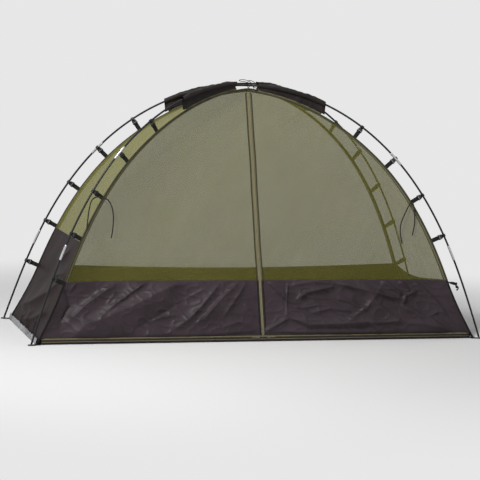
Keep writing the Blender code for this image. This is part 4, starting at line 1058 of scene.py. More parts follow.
left_net = end_panel(-1.0, LEFT_WALL_HEIGHT, None, rows=70, columns=30, sag=NET_SAG)
right_net = end_panel(1.0, WALL_HEIGHT, None, rows=80, columns=30, sag=NET_SAG,
                      edge_sag=lambda rise: RIGHT_EDGE_SAG * (1 - rise) ** 3)
rear_net = rear_panel(WALL_HEIGHT, None, rows=80, columns=90, sag_low=REAR_SAG, sag_high=0.0)
for side, grid in (("left", left_net), ("right", right_net), ("rear", rear_net)):
    hang_net(f"net_panel_{side}", grid, BOTH_SEAMS, f"net_{side}")
for side, sign in SIDES.items():
    grid = front_half(sign, WALL_HEIGHT, None, rows=90, columns=70)
    hang_net(f"front_net_{side}", grid, [FRONT_SEAM[side]], f"door_{side}_net", f"door_{side}_margin")

# %% [markdown]
# ## The dark walls
#
# Under the net comes coated cloth. It doesn't stretch, so each pull from a strap or a corner
# makes a crease that runs across it on the slant. A cloth simulation would place its own; these
# were read off the photograph instead, each as a ridge along a short line, and broad soft waves
# fill the space between.


# %% Folds along lines, and broad folds
FOLD_SOFT, FOLD_TAPER_SHARE, FOLD_END_SHARE = 0.0012, 0.18, 0.2


def fold(across, up, line, above, below, height):
    """Height * exp(-softened distance / width), with a width of its own on each side of a line."""
    away, over = np.full_like(across, np.inf), np.zeros_like(across, bool)
    gone, before = np.zeros_like(across), 0.0
    for (x0, z0), (x1, z1) in zip(line[:-1], line[1:]):
        run = np.hypot(x1 - x0, z1 - z0)
        share = np.clip(((across - x0) * (x1 - x0) + (up - z0) * (z1 - z0)) / run ** 2, 0.0, 1.0)
        beside = np.hypot(across - x0 - share * (x1 - x0), up - z0 - share * (z1 - z0))
        closer = beside < away
        away = np.where(closer, beside, away)
        over = np.where(closer, (x1 - x0) * (up - z0) - (z1 - z0) * (across - x0) > 0, over)
        gone = np.where(closer, before + share * run, gone)
        before += run
    ends = np.clip(np.minimum(gone, before - gone) / before / FOLD_TAPER_SHARE, 0.0, 1.0)
    fade = FOLD_END_SHARE + (1 - FOLD_END_SHARE) * ends ** 2 * (3 - 2 * ends)
    return height * fade * np.exp((FOLD_SOFT - np.hypot(away, FOLD_SOFT)) / np.where(over, above, below))


def folded(across, up, lines, above_share, below_share, height_share, limit):
    """All the folds added up, with their widths and heights scaled, held under a limit by tanh."""
    relief = sum(fold(across, up, line, above_share * above, below_share * below, height_share * height)
                 for line, above, below, height in lines)
    return limit * np.tanh(relief / limit)


def broad_folds(across, up, spacing, lean, depth):
    """A leaning wave across the cloth, uneven in depth."""
    wave = np.sin(2 * np.pi * (across + lean * up) / spacing + 1.3 * np.sin(5.1 * across))
    return depth * wave * (0.6 + 0.4 * np.sin(3.7 * across + 0.8))


def pushed_out(grid, relief, out, seam_power, hem_power):
    """The grid moved outwards by the relief, which falls to 0 at the sewn edges: a power of a sine
    across it, and 1 minus a steep power of the distance from its middle height."""
    rise, share = shares(*grid.shape[:2])
    held = np.sin(np.pi * share) ** seam_power * (1 - (2 * np.abs(rise - 0.5)) ** hem_power)
    return grid + (held * relief)[..., None] * np.asarray(out)


# %% Folds of the front walls, read off the photograph
# Each is a line of (x, height) places, the widths above and below it, and its height.
LEFT_FOLDS = [
    ([(-0.90, 0.020), (-0.835, 0.076), (-0.713, 0.116), (-0.540, 0.191), (-0.390, 0.262)],
     0.026, 0.070, 0.021),
    ([(-0.755, 0.122), (-0.648, 0.198), (-0.538, 0.268)], 0.020, 0.008, 0.0060),
    ([(-0.905, 0.099), (-0.818, 0.174), (-0.678, 0.264)], 0.016, 0.026, 0.0085),
    ([(-0.900, 0.225), (-0.868, 0.268)], 0.008, 0.006, 0.0030),
    ([(-0.925, 0.250), (-0.895, 0.168), (-0.945, 0.090)], 0.014, 0.012, -0.0065),
    ([(-0.613, 0.055), (-0.430, 0.151), (-0.312, 0.220)], 0.050, 0.045, -0.0070),
    ([(-0.330, 0.075), (-0.265, 0.118), (-0.212, 0.172), (-0.100, 0.268)], 0.008, 0.030, 0.0070),
    ([(-0.440, 0.045), (-0.355, 0.099), (-0.290, 0.156), (-0.190, 0.262)], 0.026, 0.018, 0.0075),
    ([(-0.190, 0.104), (-0.125, 0.187), (-0.066, 0.262)], 0.022, 0.010, 0.0060),
    ([(-0.085, 0.168), (-0.030, 0.102)], 0.008, 0.006, 0.0035),
    ([(-0.620, 0.022), (-0.465, 0.029), (-0.252, 0.031), (-0.020, 0.048)], 0.022, 0.008, 0.0060),
    ([(-0.730, 0.170), (-0.700, 0.205)], 0.005, 0.005, 0.0018),
    ([(-0.640, 0.232), (-0.600, 0.188)], 0.005, 0.006, 0.0020),
    ([(-0.560, 0.085), (-0.470, 0.112), (-0.400, 0.120)], 0.012, 0.009, 0.0026),
    ([(-0.420, 0.165), (-0.330, 0.205), (-0.260, 0.236)], 0.010, 0.010, 0.0026),
    ([(-0.200, 0.060), (-0.120, 0.084), (-0.040, 0.080)], 0.012, 0.008, 0.0028),
]
RIGHT_FOLDS = [
    ([(0.358, 0.258), (0.521, 0.217), (0.706, 0.177)], 0.020, 0.012, 0.0060),
    ([(0.500, 0.262), (0.521, 0.214), (0.579, 0.143), (0.661, 0.079), (0.820, 0.061), (0.960, 0.030)],
     0.022, 0.034, 0.0068),
    ([(0.680, 0.150), (0.823, 0.090), (0.915, 0.035)], 0.016, 0.024, 0.0060),
    ([(0.760, 0.262), (0.850, 0.190), (0.925, 0.100)], 0.014, 0.020, 0.0042),
    ([(0.400, 0.070), (0.520, 0.150), (0.600, 0.240)], 0.012, 0.016, 0.0030),
    ([(0.598, 0.270), (0.704, 0.193)], 0.012, 0.012, 0.0055),
    ([(0.692, 0.268), (0.742, 0.212)], 0.010, 0.010, 0.0040),
    ([(0.697, 0.150), (0.714, 0.193), (0.783, 0.222)], 0.010, 0.010, 0.0045),
    ([(0.136, 0.268), (0.124, 0.185), (0.118, 0.100)], 0.004, 0.004, 0.0022),
    ([(0.034, 0.268), (0.120, 0.182)], 0.016, 0.006, 0.0045),
    ([(0.169, 0.180), (0.221, 0.213), (0.364, 0.240)], 0.010, 0.012, 0.0048),
    ([(0.145, 0.246), (0.260, 0.263), (0.358, 0.253)], 0.012, 0.012, 0.0030),
    ([(0.129, 0.106), (0.169, 0.088), (0.217, 0.066), (0.387, 0.068), (0.516, 0.075), (0.577, 0.030)],
     0.034, 0.009, 0.0085),
    ([(0.516, 0.072), (0.624, 0.074), (0.690, 0.083)], 0.014, 0.008, 0.0050),
    ([(0.012, 0.045), (0.078, 0.076), (0.124, 0.101)], 0.014, 0.009, 0.0050),
    ([(0.815, 0.096), (0.884, 0.123)], 0.006, 0.006, 0.0025),
    ([(0.020, 0.046), (0.172, 0.036), (0.598, 0.029), (0.985, 0.028)], 0.020, 0.008, 0.0050),
    ([(0.230, 0.120), (0.330, 0.140), (0.450, 0.126)], 0.016, 0.012, 0.0028),
    ([(0.360, 0.190), (0.440, 0.168), (0.520, 0.125)], 0.016, 0.012, 0.0026),
    ([(0.150, 0.150), (0.210, 0.146), (0.290, 0.160)], 0.008, 0.008, 0.0022),
]


# %% Front walls
WALL_ROWS, WALL_COLUMNS, FOLD_LIMIT, WALL_THICK, WALL_OFF_SILL = 90, 360, 0.038, 0.0007, 0.0026
BROAD_DEPTH, CRUMPLE_DEPTH, UNEVEN_DEPTH = 0.0012, 0.0042, 0.0010
FRONT_UP = unit(np.array([0.0, CORNER[1], FACE_HEIGHT]))
FRONT_OUT = unit(np.array([0.0, -FACE_HEIGHT, CORNER[1]]))
WALL_LOW = CORNER[2] + (SILL_HEIGHT + WALL_OFF_SILL) * FACE_HEIGHT / FRONT_SLANT
# The folds of each side, the shares of their widths and height, the spacing and lean of the
# broad folds, and the seed of the crumples.
FRONT_WALLS = {
    "left": (LEFT_FOLDS, 1.0, 3.0, 0.17, -1.2, 11),
    "right": (RIGHT_FOLDS, 0.8, 4.5, 0.23, 0.9, 12),
}

for side, (lines, width_share, height_share, spacing, lean, seed) in FRONT_WALLS.items():
    grid = front_half(SIDES[side], WALL_LOW, WALL_HEIGHT, WALL_ROWS, WALL_COLUMNS)
    across, up = grid[..., 0], grid[..., 2]
    relief = folded(across, up, lines, width_share, width_share, height_share, FOLD_LIMIT)
    relief += broad_folds(across, up, spacing, lean, BROAD_DEPTH)
    crumpled = 1 - np.abs(ripple(across * 11 + up * 4, up * 17, seed))
    relief += CRUMPLE_DEPTH * crumpled ** 5 + UNEVEN_DEPTH * ripple(across * 9, up * 14, 13)
    grid = pushed_out(grid, relief, FRONT_OUT, seam_power=0.25, hem_power=12)
    wall = thicken(surface(f"front_wall_{side}", grid, flip=side == "left"), WALL_THICK)
    dress_front(wall, WALL, side, "coated_cloth", f"door_{side}_wall")
    declare_cloth(wall, grid, "hung", [FRONT_SEAM[side]])


# %% Rear and right wall
def sew(name, grid, material, thickness, body, slot, *nodes, marks=None, flip=False):
    """A grid made a thick piece of cloth and dressed."""
    piece = surface(name, grid, marks=marks, flip=flip)
    return thicken(dress(piece, material, body, slot, *nodes), thickness)


PLAIN_SPACING, PLAIN_LEAN, SMALL_SHARE = 0.24, 0.9, 0.5


def crumple(grid, out, depth, seed):
    """Leaning folds and small unevenness, along one level direction out of the wall."""
    across, up = lengths_along(grid, 1), grid[..., 2]
    relief = broad_folds(across, up, PLAIN_SPACING, PLAIN_LEAN, depth)
    relief += depth * SMALL_SHARE * ripple(across * 7, up * 11, seed)
    return pushed_out(grid, relief, out, seam_power=0.4, hem_power=6)


WALL_FOOT = FLOOR_THICKNESS + 0.001
REAR_DEPTH, RIGHT_DEPTH, LEFT_DEPTH = 0.0045, 0.0035, 0.0016
rear_grid = rear_panel(WALL_FOOT, WALL_HEIGHT, rows=50, columns=220, sag_low=0.0, sag_high=REAR_SAG)
rear_grid = crumple(rear_grid, (0.0, 1.0, 0.0), REAR_DEPTH, 5)
right_wall = end_panel(1.0, WALL_FOOT, WALL_HEIGHT, rows=50, columns=90, sag=0.0,
                       edge_sag=lambda rise: RIGHT_EDGE_SAG * rise ** 2)
right_grid = crumple(right_wall[:, ::-1], (1.0, 0.0, 0.0), RIGHT_DEPTH, 6)
wrapped = np.concatenate((rear_grid, right_grid[:, 1:]), axis=1)
rear_wall = sew("rear_and_right_wall", wrapped, WALL, WALL_THICK, "tent", "coated_cloth",
                "wall_rear_and_right", flip=True)
declare_cloth(rear_wall, wrapped, "hung", BOTH_SEAMS)

# %% Left end wall
# Its folds: places are (distance from the front seam, height) over its flat cut.
END_FOLDS = [
    ([(0.060, 0.270), (0.190, 0.205), (0.420, 0.130), (0.640, 0.080)], 0.050, 0.036, 0.0110),
    ([(0.080, 0.130), (0.250, 0.080), (0.450, 0.040)], 0.030, 0.024, 0.0090),
    ([(0.050, 0.300), (0.140, 0.290), (0.260, 0.250)], 0.018, 0.016, 0.0040),
    ([(0.120, 0.400), (0.200, 0.350), (0.330, 0.340)], 0.020, 0.020, 0.0040),
    ([(0.300, 0.020), (0.330, 0.060), (0.350, 0.100)], 0.014, 0.012, 0.0050),
    ([(0.160, 0.018), (0.180, 0.050), (0.190, 0.080)], 0.012, 0.012, 0.0045),
    ([(0.480, 0.018), (0.500, 0.060)], 0.014, 0.012, 0.0040),
]
END_LIMIT = 0.036
LEFT_OUT, LEFT_SAG = (-1.0, 0.0, 0.0), 0.006
left_grid = end_panel(-1.0, WALL_FOOT, LEFT_WALL_HEIGHT, rows=120, columns=150, sag=LEFT_SAG)
end_relief = folded(lengths_along(left_grid, 1), left_grid[..., 2], END_FOLDS, 0.8, 0.6, 3.4, END_LIMIT)
left_grid = pushed_out(left_grid, end_relief, LEFT_OUT, seam_power=0.3, hem_power=12)
left_grid = crumple(left_grid, LEFT_OUT, LEFT_DEPTH, 7)
# The left wall takes the darker copy of the coated cloth, which is painted shade.
left_wall = sew("left_wall", left_grid, SHADED_END_WALL, WALL_THICK, "tent", "coated_cloth", "wall_left",
                flip=True)
declare_cloth(left_wall, left_grid, "hung", BOTH_SEAMS)

# %% [markdown]
# ## Floor, sill and the pale strip
#
# The floor is a rectangle of the same coated cloth, lying nearly flat, with shallow rumples. Its
# front edge turns up as a sill that carries the lower half of the bottom zip. At the left end
# the photograph shows a pale, shiny, crumpled strip where the floor's bare side folds up.


# %% Floor
FLOOR_CLOTH, FLOOR_RUMPLE = 0.0010, 0.004
length_share, width_share = np.meshgrid(np.linspace(-1, 1, 120), np.linspace(-1, 1, 50))
rumple = 0.5 + 0.5 * ripple(length_share * 4.0, width_share * 2.5, 21)
inside = (1 - length_share ** 8) * (1 - width_share ** 8)
floor_grid = np.stack((length_share * CORNER[0] * 0.998, width_share * CORNER[1] * 0.995,
                       FLOOR_THICKNESS * 0.7 + FLOOR_RUMPLE * rumple * inside), axis=-1)
floor_sheet = sew("floor_sheet", floor_grid, FLOOR, FLOOR_CLOTH, "tent", "coated_cloth", "groundsheet")
declare_cloth(floor_sheet, floor_grid, "laid", [])

# %% Sill along the front
SILL_REACH, SILL_PUFF, SILL_FREE, SILL_TAPER = CORNER[0] - 0.020, 0.004, 0.004, 0.08


def on_front(across, level, out):
    """A point on the front face: across it, up its slope, and off it."""
    foot = np.array([0.0, -CORNER[1], CORNER[2]]) + across[..., None] * np.array([1.0, 0.0, 0.0])
    return foot + level[..., None] * FRONT_UP + out[..., None] * FRONT_OUT


def sill_surface():
    """Up the front face and out by an uneven sine of the height, flatter near its two ends."""
    across, share = np.meshgrid(np.linspace(-SILL_REACH, SILL_REACH, 200), np.linspace(0.0, 1.0, 8))
    uneven = 1.0 + 0.5 * ripple(across * 6, share * 0.5, 31)
    ends = np.clip((SILL_REACH - np.abs(across)) / SILL_TAPER, 0.2, 1.0)
    return on_front(across, (SILL_HEIGHT - SILL_FREE) * share,
                    SILL_PUFF * np.sin(np.pi * share) * uneven * ends)


sill_grid = sill_surface()
sill = sew("sill", sill_grid, FLOOR, FLOOR_CLOTH, "tent", "coated_cloth", "groundsheet")
declare_cloth(sill, sill_grid, "folded", ["floor_sheet"])

# %% Pale strip along the left end
STRIP_PLACES, STRIP_ROWS, STRIP_HEIGHT, STRIP_LOW, STRIP_CLOTH = 180, 13, 0.026, 0.0015, 0.0006
STRIP_OUT, STRIP_LEAN, STRIP_CRINKLE = 0.0065, 0.006, 0.0026


def pale_strip():
    """A low strip along the floor's left side: leaning, crinkled more towards its top, and uneven
    in height."""
    up, along = shares(STRIP_ROWS, STRIP_PLACES)
    crinkle = ripple(along * 16, up * 1.5, 41) + 0.6 * ripple(along * 41, up * 3, 42)
    notched = 1.0 + 0.30 * ripple(along * 19, 0.0 * up, 43)
    return np.stack(np.broadcast_arrays(
        -CORNER[0] - STRIP_OUT + STRIP_LEAN * up + STRIP_CRINKLE * crinkle * (0.3 + up),
        CORNER[1] * (1 - 2 * along) * 0.985,
        STRIP_LOW + STRIP_HEIGHT * up * notched), axis=-1)


strip_grid = pale_strip()
strip = sew("pale_strip", strip_grid, FOOT_STRIP, STRIP_CLOTH, "tent", "coated_cloth", "groundsheet")
declare_cloth(strip, strip_grid, "folded", ["floor_sheet"])

# %% [markdown]
# ## Zips
#
# A coil zip is a tape on each side with a nylon spiral sewn to its edge. The tapes are woven
# strips, and each spiral is a ridge with ribs in its finish, because its turns are finer than a
# pixel. The upright zip has a half on each door, and the bottom zip a half on door and sill.


# %% Upright zip
TAPE_EDGE, TAPE_LINE, TAPE_CLOTH, LINE_CLOTH, TOP_TAPER = 0.0155, 0.0045, 0.0008, 0.0006, 0.012
NET_LOW, NET_TOP = 0.022, FRONT_SLANT - 0.0085
WALL_LEVEL = (WALL_HEIGHT - CORNER[2]) * FRONT_SLANT / FACE_HEIGHT
# The inner and outer edge of each strip, how far off the face it is and bulges, and its columns.
UPRIGHT_STRIPS = {
    "tape": (ZIP_TAPE, 0.0022, TAPE_EDGE, 0.0014, 0.0003, 7),
    "line": (ZIP_LINE, TAPE_EDGE - TAPE_LINE, TAPE_EDGE + 0.0006, 0.0020, 0.0008, 5),
    "coil": (ZIP_COIL, 0.0002, 0.0060, 0.0016, 0.0014, 9),
}


def upright_strip(sign, inner, outer, out, bulge, columns):
    """Level by level up the face, across from the inner edge to the outer, bulged by a sine."""
    share, level = np.meshgrid(np.linspace(0.0, 1.0, columns), np.linspace(NET_LOW, NET_TOP, 160))
    room = np.clip((FRONT_SLANT - level) / TOP_TAPER, 0.5, 1.0)
    across = sign * (inner + (outer - inner) * share) * room
    wander = 0.0008 * np.sin(level * 9.0) + 0.0005 * np.sin(level * 23.0 + 1.0)
    return on_front(across + wander, level, out + bulge * np.sin(np.pi * share)), level < WALL_LEVEL


for side, sign in SIDES.items():
    for kind, (material, *form) in UPRIGHT_STRIPS.items():
        grid, beside_wall = upright_strip(sign, *form)
        strip = sew(f"zip_{kind}_{side}", grid, material, TAPE_CLOTH, f"door_{side}", "binding",
                    marks={"beside_wall": beside_wall}, flip=side == "right")
        if kind == "tape":
            declare_cloth(strip, grid, "stretched", [f"front_net_{side}"])


# %% Bottom zip
ZIP_LEVEL, ZIP_OUT, HEM_START, HEM_END = SILL_HEIGHT + 0.0013, 0.0030, 0.004, SILL_REACH - 0.012
STITCH_LEVELS, STITCH_OUT, STITCH_BULGE = (0.0068, 0.0088), 0.0062, 0.0008
SILL_ENDS = (-SILL_REACH, SILL_REACH)


def level_strip(name, material, body, levels, ends, out, bulge, thickness=TAPE_CLOTH):
    """A strip along the bottom of the front between two levels and two ends, bulged by a sine."""
    across, share = np.meshgrid(np.linspace(*ends, 160), np.linspace(0.0, 1.0, 7))
    level = levels[0] + (levels[1] - levels[0]) * share
    sew(name, on_front(across, level, out + bulge * np.sin(np.pi * share)), material, thickness,
        body, "binding", marks={"beside_wall": np.ones_like(across)})


# Each strip of a zip half: its finish, how near to the zip's line and far from it, its bulge.
for kind, material, near, far, bulge in (("tape", ZIP_TAPE, 0.002, 0.010, 0.0),
                                         ("coil", ZIP_COIL, 0.0002, 0.0026, 0.0014)):
    below, above = (ZIP_LEVEL - far, ZIP_LEVEL - near), (ZIP_LEVEL + near, ZIP_LEVEL + far)
    level_strip(f"sill_zip_{kind}", material, "tent", below, SILL_ENDS, ZIP_OUT, bulge)
    for side, sign in SIDES.items():
        ends = sorted((sign * HEM_START, sign * HEM_END))
        level_strip(f"hem_zip_{kind}_{side}", material, f"door_{side}", above, ends, ZIP_OUT, bulge)
level_strip("sill_stitch_line", ZIP_COIL, "tent", STITCH_LEVELS, SILL_ENDS, STITCH_OUT, STITCH_BULGE,
            LINE_CLOTH)
print("bottom zip", round(2 * SILL_REACH, 3), "m long")

# %% [markdown]
# ## Seams, straps and corner tabs
#
# Along each pole the panels meet in a seam that is bound with folded tape. Webbing straps are
# sewn into it and carry the hooks. The binding is a flat oval carried along the seam from foot
# to foot, and each strap is a doubled band that splits round the hook's bar as a loop.


# %% Bindings
BINDING_WIDTH, BINDING_THICK, BINDING_SIDES, BINDING_RINGS = 0.0045, 0.0021, 14, 420

for arch in (ARCH_A, ARCH_B):
    distances = np.linspace(-SEAM_FOOT, SEAM_FOOT, BINDING_RINGS)
    line = arch.seam(distances)
    uneven = 1.0 + 0.06 * ripple(distances * 11, np.zeros(1), 51)
    profile = soft_box(BINDING_THICK, BINDING_WIDTH, BINDING_SIDES, BAND_POWER)[:, ::-1]
    wall_top = np.where((distances < 0) & (arch is ARCH_B), LEFT_WALL_HEIGHT, WALL_HEIGHT)
    beside_wall = np.repeat((line[:, 2] < wall_top)[:, None], BINDING_SIDES, axis=1)
    grid = swept(line, arch.side, profile, uneven)
    binding = tube(f"binding_{arch.letter}", grid, {"beside_wall": beside_wall})
    dress(binding, BINDING, "tent", "binding", f"arch_seam_{arch.letter}")
    print("binding", arch.letter, round(float(lengths_along(line[:, None], 0).max()), 2), "m")


# %% Where each strap and hook sits, repeated from the CAD source
HOOK_RADIUS, HOOK_WALL, HOOK_TIP_WIDTH, HOOK_REACH = 0.0063, 0.0032, 0.0145, 0.024
FREE_CLIP, FREE_STRAP_ANGLE, FREE_STRAP_LENGTH = "clip_front_right_5", np.radians(-11), 0.042
FREE_TURN, FREE_RISE = np.cos(np.radians(40)), np.sin(np.radians(40))
FREE_TWIST, FREE_BULK, STRAP_BULK = np.radians(45), 1.6, -0.35
WEBBING_WIDTH, WEBBING_THICK = 0.020, 0.0030
EYE_RADIUS = 0.004 / np.sqrt(2) + 0.0005 + 0.0015
EYE_POINTS, RUN_POINTS, WEBBING_POINTS, STRAIGHT_SHARE = 15, 8, 9, 0.35


def rod_radius_at(distance):
    """The pole's outer radius, thicker where a ferrule lies over it."""
    away = abs(distance) - np.abs(SECTION_ENDS[1:-1])
    return FERRULE_RADIUS if np.any((away >= -FERRULE_BONDED) & (away <= FERRULE_SOCKET)) else POLE_RADIUS


def clip_places():
    """For each clip its name, arch, pivot, the directions along its strap, of its swing and of
    its axis, and the strap's length."""
    for half, (arch, sign) in HALVES.items():
        for index, station in enumerate(CLIP_STATIONS):
            name, distance = f"clip_{half}_{index + 1}", sign * station
            if name == FREE_CLIP:
                along = arch.out * sign * np.cos(FREE_STRAP_ANGLE) + UP * np.sin(FREE_STRAP_ANGLE)
                axis = -end_side(arch, sign)
                pivot = arch.seam(distance) + FREE_STRAP_LENGTH * along
                yield name, arch, pivot, along, np.cross(axis, along), axis, FREE_STRAP_LENGTH
                continue
            outward, swing = arch.outward(distance), end_side(arch, sign)
            reach = rod_radius_at(distance) + GAP - HOOK_RADIUS - HOOK_REACH
            pivot, length = arch.point(distance) + reach * outward, float(seam_drop(station)) + reach
            yield name, arch, pivot, outward, swing, np.cross(outward, swing), length


# %% Straps
def strap_grid(pivot, along, swing, axis, length, twist=0.0, bulk=STRAP_BULK):
    """A closed outline, two layers and an eye, carried across the webbing's width. A free strap is
    also twisted about its own line: most at the seam, and not at all at its eye."""
    meet = np.arcsin(WEBBING_THICK / 2 / EYE_RADIUS)
    turn = np.linspace(meet - np.pi, np.pi - meet, EYE_POINTS)
    eye = np.stack((EYE_RADIUS * np.cos(turn), EYE_RADIUS * np.sin(turn)), axis=-1)
    run = np.linspace(-length, eye[0, 0], RUN_POINTS)[:-1]
    pinch = WEBBING_THICK / 2 * (1 + bulk * np.sin(np.pi * (run + length) / length))
    lower = np.stack((run, -pinch), axis=-1)
    outline = np.concatenate((lower, eye, lower[::-1] * [1, -1]))
    width = np.linspace(-1.0, 1.0, WEBBING_POINTS)[:, None]
    across = WEBBING_WIDTH / 2 * width
    layer = outline[None, :, 1] * (1 - 0.5 * np.abs(width) ** 8)
    twisted = (-STRAIGHT_SHARE * length - outline[:, 0]) / ((1 - STRAIGHT_SHARE) * length)
    spin = twist * np.clip(twisted, 0.0, 1.0)[None, :]
    thick = layer * np.cos(spin) - across * np.sin(spin)
    wide = layer * np.sin(spin) + across * np.cos(spin)
    return pivot + outline[None, :, 0:1] * along + thick[..., None] * swing + wide[..., None] * axis


for name, arch, pivot, along, swing, axis, length in clip_places():
    if name == FREE_CLIP:
        axis, swing = FREE_TURN * axis + FREE_RISE * swing, FREE_TURN * swing - FREE_RISE * axis
        grid = strap_grid(pivot, along, swing, axis, length, FREE_TWIST, FREE_BULK)
    else:
        grid = strap_grid(pivot, along, swing, axis, length)
    strap = tube(name.replace("clip", "strap"), grid)
    dress(strap, WEBBING, "tent", "binding", f"arch_seam_{arch.letter}")
print("straps", len(HALVES) * CLIPS_PER_HALF, "eyes", round(EYE_RADIUS * 1000, 1), "mm in radius")

# %% [markdown]
# ## Hooks
#
# The hooks are injection mouldings in one piece: a frame with a bar for the webbing, a stem, and
# an open hook that snaps on the rod. The frame and the hook are each a rounded profile carried
# along a path.


# %% A hook in its own axes
FRAME_CORNER, FRAME_INNER, FRAME_OUTER = 0.0016, -0.0010, 0.0067
FRAME_HALF = WEBBING_WIDTH / 2 + 0.0015
FRAME_HALF_THICK, FRAME_HALF_HEIGHT = 0.0012, 0.0018
FRAME_SIDES, HOOK_SIDES, HOOK_RINGS, STEM_RINGS = 10, 14, 26, 6
STEM_START, STEM_GAP, HOOK_OPENING = 0.0070, 0.0004, np.radians(15)
# How much stouter the stem starts, and the shares of the path over which the extra thickness,
# the extra width and the rounding of the tip fall away.
STEM_STOUT, STOUT_OVER, WIDE_OVER, TIP_OVER = 0.8, 0.16, 0.30, 0.05


def hook_frame():
    """A rounded rectangle of four quarter turns. Its first ring is repeated at its end."""
    turn = np.linspace(0.0, np.pi / 2, 5)
    near, far, half = FRAME_INNER + FRAME_CORNER, FRAME_OUTER - FRAME_CORNER, FRAME_HALF - FRAME_CORNER
    corners = [(far, half, 0.0), (near, half, np.pi / 2), (near, -half, np.pi), (far, -half, 1.5 * np.pi)]
    path = np.concatenate([
        np.stack((x + FRAME_CORNER * np.cos(turn + start), 0.0 * turn,
                  z + FRAME_CORNER * np.sin(turn + start)), axis=-1) for x, z, start in corners])
    ahead = np.roll(path, -1, axis=0) - np.roll(path, 1, axis=0)
    level = unit(np.cross(ahead, [0.0, 1.0, 0.0]))
    profile = soft_box(FRAME_HALF_THICK, FRAME_HALF_HEIGHT, FRAME_SIDES, BAND_POWER)
    ring = carried(path, profile, level, [0.0, 1.0, 0.0])
    return np.concatenate((ring, ring[:1]))


def hook_body():
    """A stem and most of a circle, as wide as the frame at first and narrower at the tip."""
    radius = HOOK_RADIUS + HOOK_WALL / 2
    angle = np.linspace(np.pi, -HOOK_OPENING, HOOK_RINGS)
    round_part = np.stack((
        HOOK_REACH + radius * np.cos(angle), radius * np.sin(angle), 0.0 * angle), axis=-1)
    stem_places = np.linspace(STEM_START, HOOK_REACH - radius - STEM_GAP, STEM_RINGS)
    stem = stem_places[:, None] * [1.0, 0.0, 0.0]
    path = np.concatenate((stem, round_part[1:]))
    side = np.cross([0.0, 0.0, 1.0], unit(np.gradient(path, axis=0)))
    gone = np.linspace(0.0, 1.0, len(path))
    tip = np.sqrt(np.clip((1.02 - gone) / TIP_OVER, 0.25, 1.0))
    stout = 1.0 + STEM_STOUT * np.exp(-(gone / STOUT_OVER) ** 2)
    wider = (2 * FRAME_HALF - HOOK_TIP_WIDTH) * np.exp(-(gone / WIDE_OVER) ** 2)
    breadth = tip * (HOOK_TIP_WIDTH + wider)
    return carried(path, soft_box(0.5, HOOK_WALL / 2, HOOK_SIDES, 0.45),
                   breadth[:, None] * [0.0, 0.0, 1.0], (tip * stout)[:, None] * side)


RING, HOOK_BODY = hook_frame(), hook_body()
print("hook", round(float(np.ptp(HOOK_BODY[..., 0])) * 1000, 1), "mm long")


# %% The twenty hooks in their places
def hook(name, pivot, along, swing, axis):
    """Both shells in one mesh: the ring closes on itself and the hook has two end caps."""
    turn = np.stack((along, swing, axis))
    ring, body = pivot + RING @ turn, pivot + HOOK_BODY @ turn
    ring_quads, _, _ = grid_faces(*ring.shape[:2], True)
    body_quads, _, _ = grid_faces(*body.shape[:2], True)
    start = ring.shape[0] * ring.shape[1]
    columns, last = body.shape[1], (body.shape[0] - 1) * body.shape[1]
    ends = [(np.arange(columns)[::-1] + start).tolist(), (np.arange(columns) + start + last).tolist()]
    mesh = bpy.data.meshes.new(name)
    mesh.from_pydata(np.concatenate((ring.reshape(-1, 3), body.reshape(-1, 3))).tolist(), [],
                     ring_quads.tolist() + (body_quads + start).tolist() + ends)
    mesh.validate()
    mesh.shade_smooth()
    return placed(name, mesh)


for name, _, pivot, along, swing, axis, _ in clip_places():
    if name == FREE_CLIP:
        low_corner, high_corner = (np.array(corner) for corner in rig.box(name))
        lean = (low_corner + high_corner) / 2 - pivot
        axis = FREE_TURN * axis + FREE_RISE * swing
        along = unit(lean - axis * (lean @ axis))
        swing = np.cross(axis, along)
    piece = hook(name.replace("clip", "hook"), pivot, along, swing, axis)
    dress(piece, PLASTIC, f"{name}_body", "clip", name)
print("hooks", len(HALVES) * CLIPS_PER_HALF)

# %% [markdown]
# ## Sleeves
#
# Near the crossing each pole runs in a tunnel of black cloth that is sewn to the seam. Its
# profile goes round the rod and down to the seam on both sides. It is a little too wide for the
# rod, so it puckers: small waves along it that grow towards its lower edge. A pale tape covers
# the stitches where it joins the seam.


# %% Sleeve cloth round the rod
SLEEVE_SPANS = {"front_left": (0.072, 0.385), "rear_left": (0.072, 0.410),
                "rear_right": (0.050, 0.385), "front_right": (0.050, 0.380)}
SLEEVE_LOOP, SLEEVE_NARROW, SLEEVE_LIFT = 0.0115, 0.0030, 0.0095
SLEEVE_RINGS, SLEEVE_SLANT, SLEEVE_CLOTH, SLEEVE_FLARE = 130, 0.018, 0.0008, 0.0012
SLEEVE_SLACK, SLEEVE_PUCKER = 0.0009, 0.0046
SLEEVE_PUFF, SLEEVE_LUMPS, SLEEVE_SPECKS = 0.0020, 0.0046, 0.0026
SLEEVE_TAPE_LIFT, SLEEVE_TAPE_HALF = 0.0085, (0.0016, 0.0055)
# The share of a half turn that the cloth goes round, and its points over the top and down a side.
SLEEVE_ROUND, TOP_POINTS, SIDE_POINTS = 0.95, 21, 11
# Along the pole, the distance over which it narrows and the length of its ends. Square to it, the
# depth of a full slant, where the puckers start and how they grow, and how the puff grows.
NARROW_OVER, SLEEVE_END, SLANT_DEPTH = 0.08, 0.05, 0.05
PUCKER_START, PUCKER_OVER, PUFF_OVER = 0.004, 0.030, 0.004


